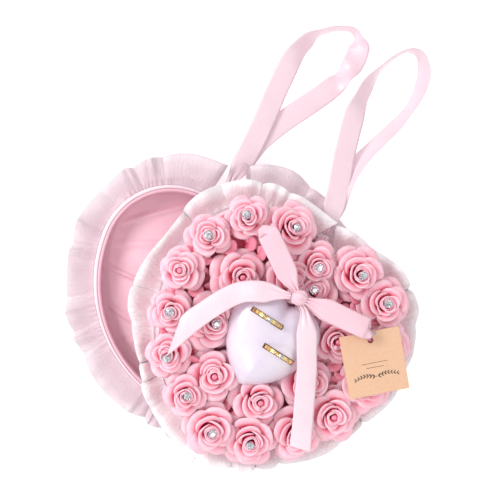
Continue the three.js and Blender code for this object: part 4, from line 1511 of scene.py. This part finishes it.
class PILLOW_OT_pearl_heart(bpy.types.Operator):
    """Crowns the pearl heart and cuts its two ring slits"""

    bl_idname = "pillow.pearl_heart"
    bl_label = "Pearl heart"

    MIDDLE = Vector((0, 34))
    HEIGHT = 21.0
    LOWEST = -38  # degrees under the widest line, where the side meets the base
    SLIT = (24.6, 3.5, 30, 1)

    def execute(self, context):
        def spot(u, v):
            outline = PEARL.at(u)
            a = radians(self.LOWEST + (90 - self.LOWEST) * v)
            share = cos(a) ** 0.85 if v < 1 else 0.0
            flat = self.MIDDLE + (outline - self.MIDDLE) * share
            low = self.HEIGHT * 0.3
            z = low + (self.HEIGHT - low) * sin(a) if a > 0 else low * (1 + sin(a) * 1.62)
            cleft = exp(-((flat.x / 5) ** 2)) * ease(flat.y, self.MIDDLE.y + 4, 58)
            z -= 2.4 * cleft * share
            for _, x, y in RING_PLACES:
                ridge = abs(flat.y - (y - PEARL_TIP)) - 2.1
                if abs(flat.x - x) < 13:
                    z += 0.45 * exp(-ridge * ridge) * (1 - abs(flat.x - x) / 13)
            return Vector((flat.x, flat.y, z))

        bm = grid(220, 56, spot, across=170, along=60, closed=True)
        bottom = [edge for edge in bm.edges if edge.is_boundary]
        bmesh.ops.contextual_create(bm, geom=bottom)
        bmesh.ops.recalc_face_normals(bm, faces=bm.faces)
        place = LID @ placed(0, PEARL_TIP, PEARL_FOOT)
        obj = piece(bm, "pearl_heart_cushion", place, "Pearl coat", "front_half", "pearl",
                    ("pearl_heart",))
        self.slits(context, obj)
        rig.padded(obj, fill=0.9)
        return {"FINISHED"}

    def slits(self, context, obj):
        knives = []
        for name, x, y in RING_PLACES:
            bm = bmesh.new()
            place = LID @ placed(x, y, RING_CENTRE + 3) @ Matrix.Diagonal(self.SLIT)
            bmesh.ops.create_cube(bm, size=1, matrix=place)
            mesh = bpy.data.meshes.new("slit")
            bm.to_mesh(mesh)
            bm.free()
            knife = bpy.data.objects.new(f"slit_{name}", mesh)
            context.scene.collection.objects.link(knife)
            cut = obj.modifiers.new(f"Slit{name}", "BOOLEAN")
            cut.operation, cut.solver, cut.object = "DIFFERENCE", "EXACT", knife
            knives.append(knife)
        context.view_layer.update()
        made = bpy.data.meshes.new_from_object(
            obj.evaluated_get(context.evaluated_depsgraph_get())
        )
        obj.modifiers.clear()
        obj.data = made
        for knife in knives:
            bpy.data.objects.remove(knife)


class PILLOW_OT_rings(bpy.types.Operator):
    """Makes the two ring bands with their beaded edges and set stones"""

    bl_idname = "pillow.rings"
    bl_label = "Rings"

    OUTER, INNER, HALF = 11.8, 10.2, 1.3
    BEADS, BEAD = 56, 0.2
    FINISHES = ("Ring gold", "Cut crystal")

    def execute(self, context):
        for name, x, y in RING_PLACES:
            place, body = LID @ placed(x, y, RING_CENTRE), f"ring_{name}"
            piece(self.band(), f"{body}_band", place, self.FINISHES, body, "ring_gold", (body,))
            piece(self.head(), f"{body}_stone", place, self.FINISHES, body, "crystal",
                  (f"ring_stone_{name}",), smooth=False)
        return {"FINISHED"}

    def band(self):
        bm = bmesh.new()
        half, outer, inner = self.HALF, self.OUTER, self.INNER
        section = (
            (inner + 0.25, -half), (outer - 0.45, -half), (outer - 0.1, -half * 0.84),
            (outer - 0.28, -half * 0.6), (outer, -half * 0.3), (outer, half * 0.3),
            (outer - 0.28, half * 0.6), (outer - 0.1, half * 0.84), (outer - 0.45, half),
            (inner + 0.25, half), (inner, half * 0.5), (inner, -half * 0.5),
        )
        verts = [bm.verts.new((r, y, 0)) for r, y in section]
        edges = [bm.edges.new((a, b)) for a, b in zip(verts, [*verts[1:], verts[0]])]
        bmesh.ops.spin(
            bm, geom=[*verts, *edges], cent=(0, 0, 0), axis=(0, 1, 0), angle=2 * pi,
            steps=96, use_merge=True,
        )
        bmesh.ops.recalc_face_normals(bm, faces=bm.faces)
        for k in range(self.BEADS):
            a = 2 * pi * k / self.BEADS
            for y in (-half * 0.84, half * 0.84):
                place = placed(outer * 0.995 * cos(a), y, outer * 0.995 * sin(a))
                bmesh.ops.create_icosphere(bm, subdivisions=1, radius=self.BEAD, matrix=place)
        for k in (-3, -2, -1, 1, 2, 3):
            a = pi / 2 + 0.15 * k + copysign(0.07, k)
            place = placed(outer * cos(a), 0, outer * sin(a))
            place = place @ Matrix.Rotation(pi / 2 - a, 4, "Y")
            add_cone(bm, 8, 0.62, 0.34, 0.34, place, 1)
        return bm

    def head(self):
        """The stone in its setting, with four claws."""
        bm = bmesh.new()
        seat = self.OUTER + 0.35
        for z, low, high, depth, index in (
            (0.35, 0.5, 1.35, 0.9, 0),
            (0.95, 0.9, 1.6, 0.5, 1),
            (1.35, 1.6, 0.95, 0.4, 1),
        ):
            add_cone(bm, 10, low, high, depth, placed(0, 0, seat + z), index)
        for k in range(4):
            a = pi / 4 + k * pi / 2
            place = placed(1.45 * cos(a), 1.45 * sin(a), seat + 0.65)
            add_cone(bm, 8, 0.28, 0.2, 1.7, place)
        return bm


# ---- Gift tag ------------------------------------------------------------------------


class PILLOW_OT_gift_tag(bpy.types.Operator):
    """Cuts the kraft gift tag and prints a plain leaf sprig on it"""

    bl_idname = "pillow.gift_tag"
    bl_label = "Gift tag"

    WIDTH, HEIGHT, THICK, HOLE, HOLE_DOWN = 42, 43, 0.6, 2.0, 6

    def execute(self, context):
        place = LID @ placed(*TAG_PLACE, TAG_TURN)
        bm = bmesh.new()
        made = bmesh.ops.create_circle(bm, segments=40, radius=self.HOLE)["verts"]
        rim = list({edge for vert in made for edge in vert.link_edges})
        grown = bmesh.ops.extrude_edge_only(bm, edges=rim)["geom"]
        outer = [item for item in grown if isinstance(item, bmesh.types.BMVert)]
        middle = Vector((0, self.HOLE_DOWN - self.HEIGHT / 2, 0))
        side, top, low = self.WIDTH / 2, self.HOLE_DOWN, self.HOLE_DOWN - self.HEIGHT
        for vert in outer:
            aim = vert.co.normalized()
            reach = min(
                side / abs(aim.x) if abs(aim.x) > 1e-6 else 1e9,
                (top if aim.y > 0 else low) / aim.y if abs(aim.y) > 1e-6 else 1e9,
            )
            vert.co = aim * reach
        for goal in (Vector((x, y, 0)) for x in (side, -side) for y in (top, low)):
            near = min(outer, key=lambda vert: (vert.co - goal).length)
            near.co = goal
        bmesh.ops.recalc_face_normals(bm, faces=bm.faces)
        walls = bmesh.ops.extrude_face_region(bm, geom=list(bm.faces))["geom"]
        for item in walls:
            if isinstance(item, bmesh.types.BMVert):
                item.co.z += self.THICK
        bmesh.ops.recalc_face_normals(bm, faces=bm.faces)
        obj = piece(bm, "tag_card_kraft", place, "Kraft card", "tag", "tag_kraft",
                    ("tag_card",), smooth=False)
        bevel = obj.modifiers.new("Edge", "BEVEL")
        bevel.width, bevel.segments, bevel.limit_method = 0.00012, 2, "ANGLE"
        self.ornament(place, middle)
        return {"FINISHED"}

    def ornament(self, place, middle):
        """A leaf sprig to either side, and two short rules above it."""
        bm = bmesh.new()
        base = middle + Vector((0, -9.5, self.THICK + 0.03))

        def stem(reach, t):
            return base + Vector((reach * t, 1.6 * sin(t * 3.4), 0))

        def leaf(spot, turn, long):
            matrix = Matrix.Translation(spot) @ Matrix.Rotation(turn, 4, "Z")
            matrix = matrix @ Matrix.Diagonal((long, long * 0.34, 1, 1))
            bmesh.ops.create_circle(bm, cap_ends=True, segments=14, radius=1, matrix=matrix)

        def line(a, b, wide):
            run = b - a
            matrix = Matrix.Translation((a + b) / 2)
            matrix = matrix @ Matrix.Rotation(atan2(run.y, run.x), 4, "Z")
            matrix = matrix @ Matrix.Diagonal((run.length / 2, wide, 1, 1))
            bmesh.ops.create_grid(bm, x_segments=1, y_segments=1, size=1, matrix=matrix)

        for side in (-1, 1):
            for k in range(7):
                t = (k + 0.6) / 7
                for up in (-1, 1):
                    aim = up * (0.75 if side > 0 else pi - 0.75)
                    tip = stem(side * 15, t) + Vector((cos(aim), sin(aim), 0)) * 1.1
                    leaf(tip, aim, 1.25 - 0.35 * t)
            for k in range(8):
                line(stem(side * 15.6, k / 8), stem(side * 15.6, (k + 1) / 8), 0.13)
        for y, wide in ((9.6, 9), (6.6, 6)):
            line(base + Vector((-wide, y, 0)), base + Vector((wide, y, 0)), 0.16)
        piece(bm, "tag_print", place, "Print", "tag", "tag_kraft")


# ---- Panel and registration ----------------------------------------------------------


OPERATORS = (
    PILLOW_OT_stage,
    PILLOW_OT_tag_thread,
    PILLOW_OT_covers,
    PILLOW_OT_linings,
    PILLOW_OT_pipings,
    PILLOW_OT_ruffles,
    PILLOW_OT_inner_layers,
    PILLOW_OT_hinge,
    PILLOW_OT_handles,
    PILLOW_OT_bow,
    PILLOW_OT_roses,
    PILLOW_OT_crystals,
    PILLOW_OT_pearl_heart,
    PILLOW_OT_rings,
    PILLOW_OT_gift_tag,
)


class PILLOW_PT_panel(bpy.types.Panel):
    """Lists the pieces of the pillow"""

    bl_label = "Ring Pillow"
    bl_space_type = "VIEW_3D"
    bl_region_type = "UI"
    bl_category = "Ring Pillow"

    def draw(self, context):
        for group in (context.scene.pillow_sizes, context.scene.pillow_colours):
            for name in group.__annotations__:
                self.layout.prop(group, name)
        for operator in OPERATORS:
            self.layout.operator(operator.bl_idname)


CLASSES = (PillowSizes, PillowColours, *OPERATORS, PILLOW_PT_panel)


def register():
    for cls in CLASSES:
        bpy.utils.register_class(cls)
    bpy.types.Scene.pillow_sizes = PointerProperty(type=PillowSizes)
    bpy.types.Scene.pillow_colours = PointerProperty(type=PillowColours)


def unregister():
    del bpy.types.Scene.pillow_colours
    del bpy.types.Scene.pillow_sizes
    for cls in reversed(CLASSES):
        bpy.utils.unregister_class(cls)


def main():
    register()
    for operator in OPERATORS:
        group, name = operator.bl_idname.split(".")
        getattr(getattr(bpy.ops, group), name)()
    low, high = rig.bounds()
    with open("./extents.json", "w") as file:
        json.dump({"cad": CAD_BOX, "visual": [list(low), list(high)]}, file)


if __name__ == "__main__":
    main()
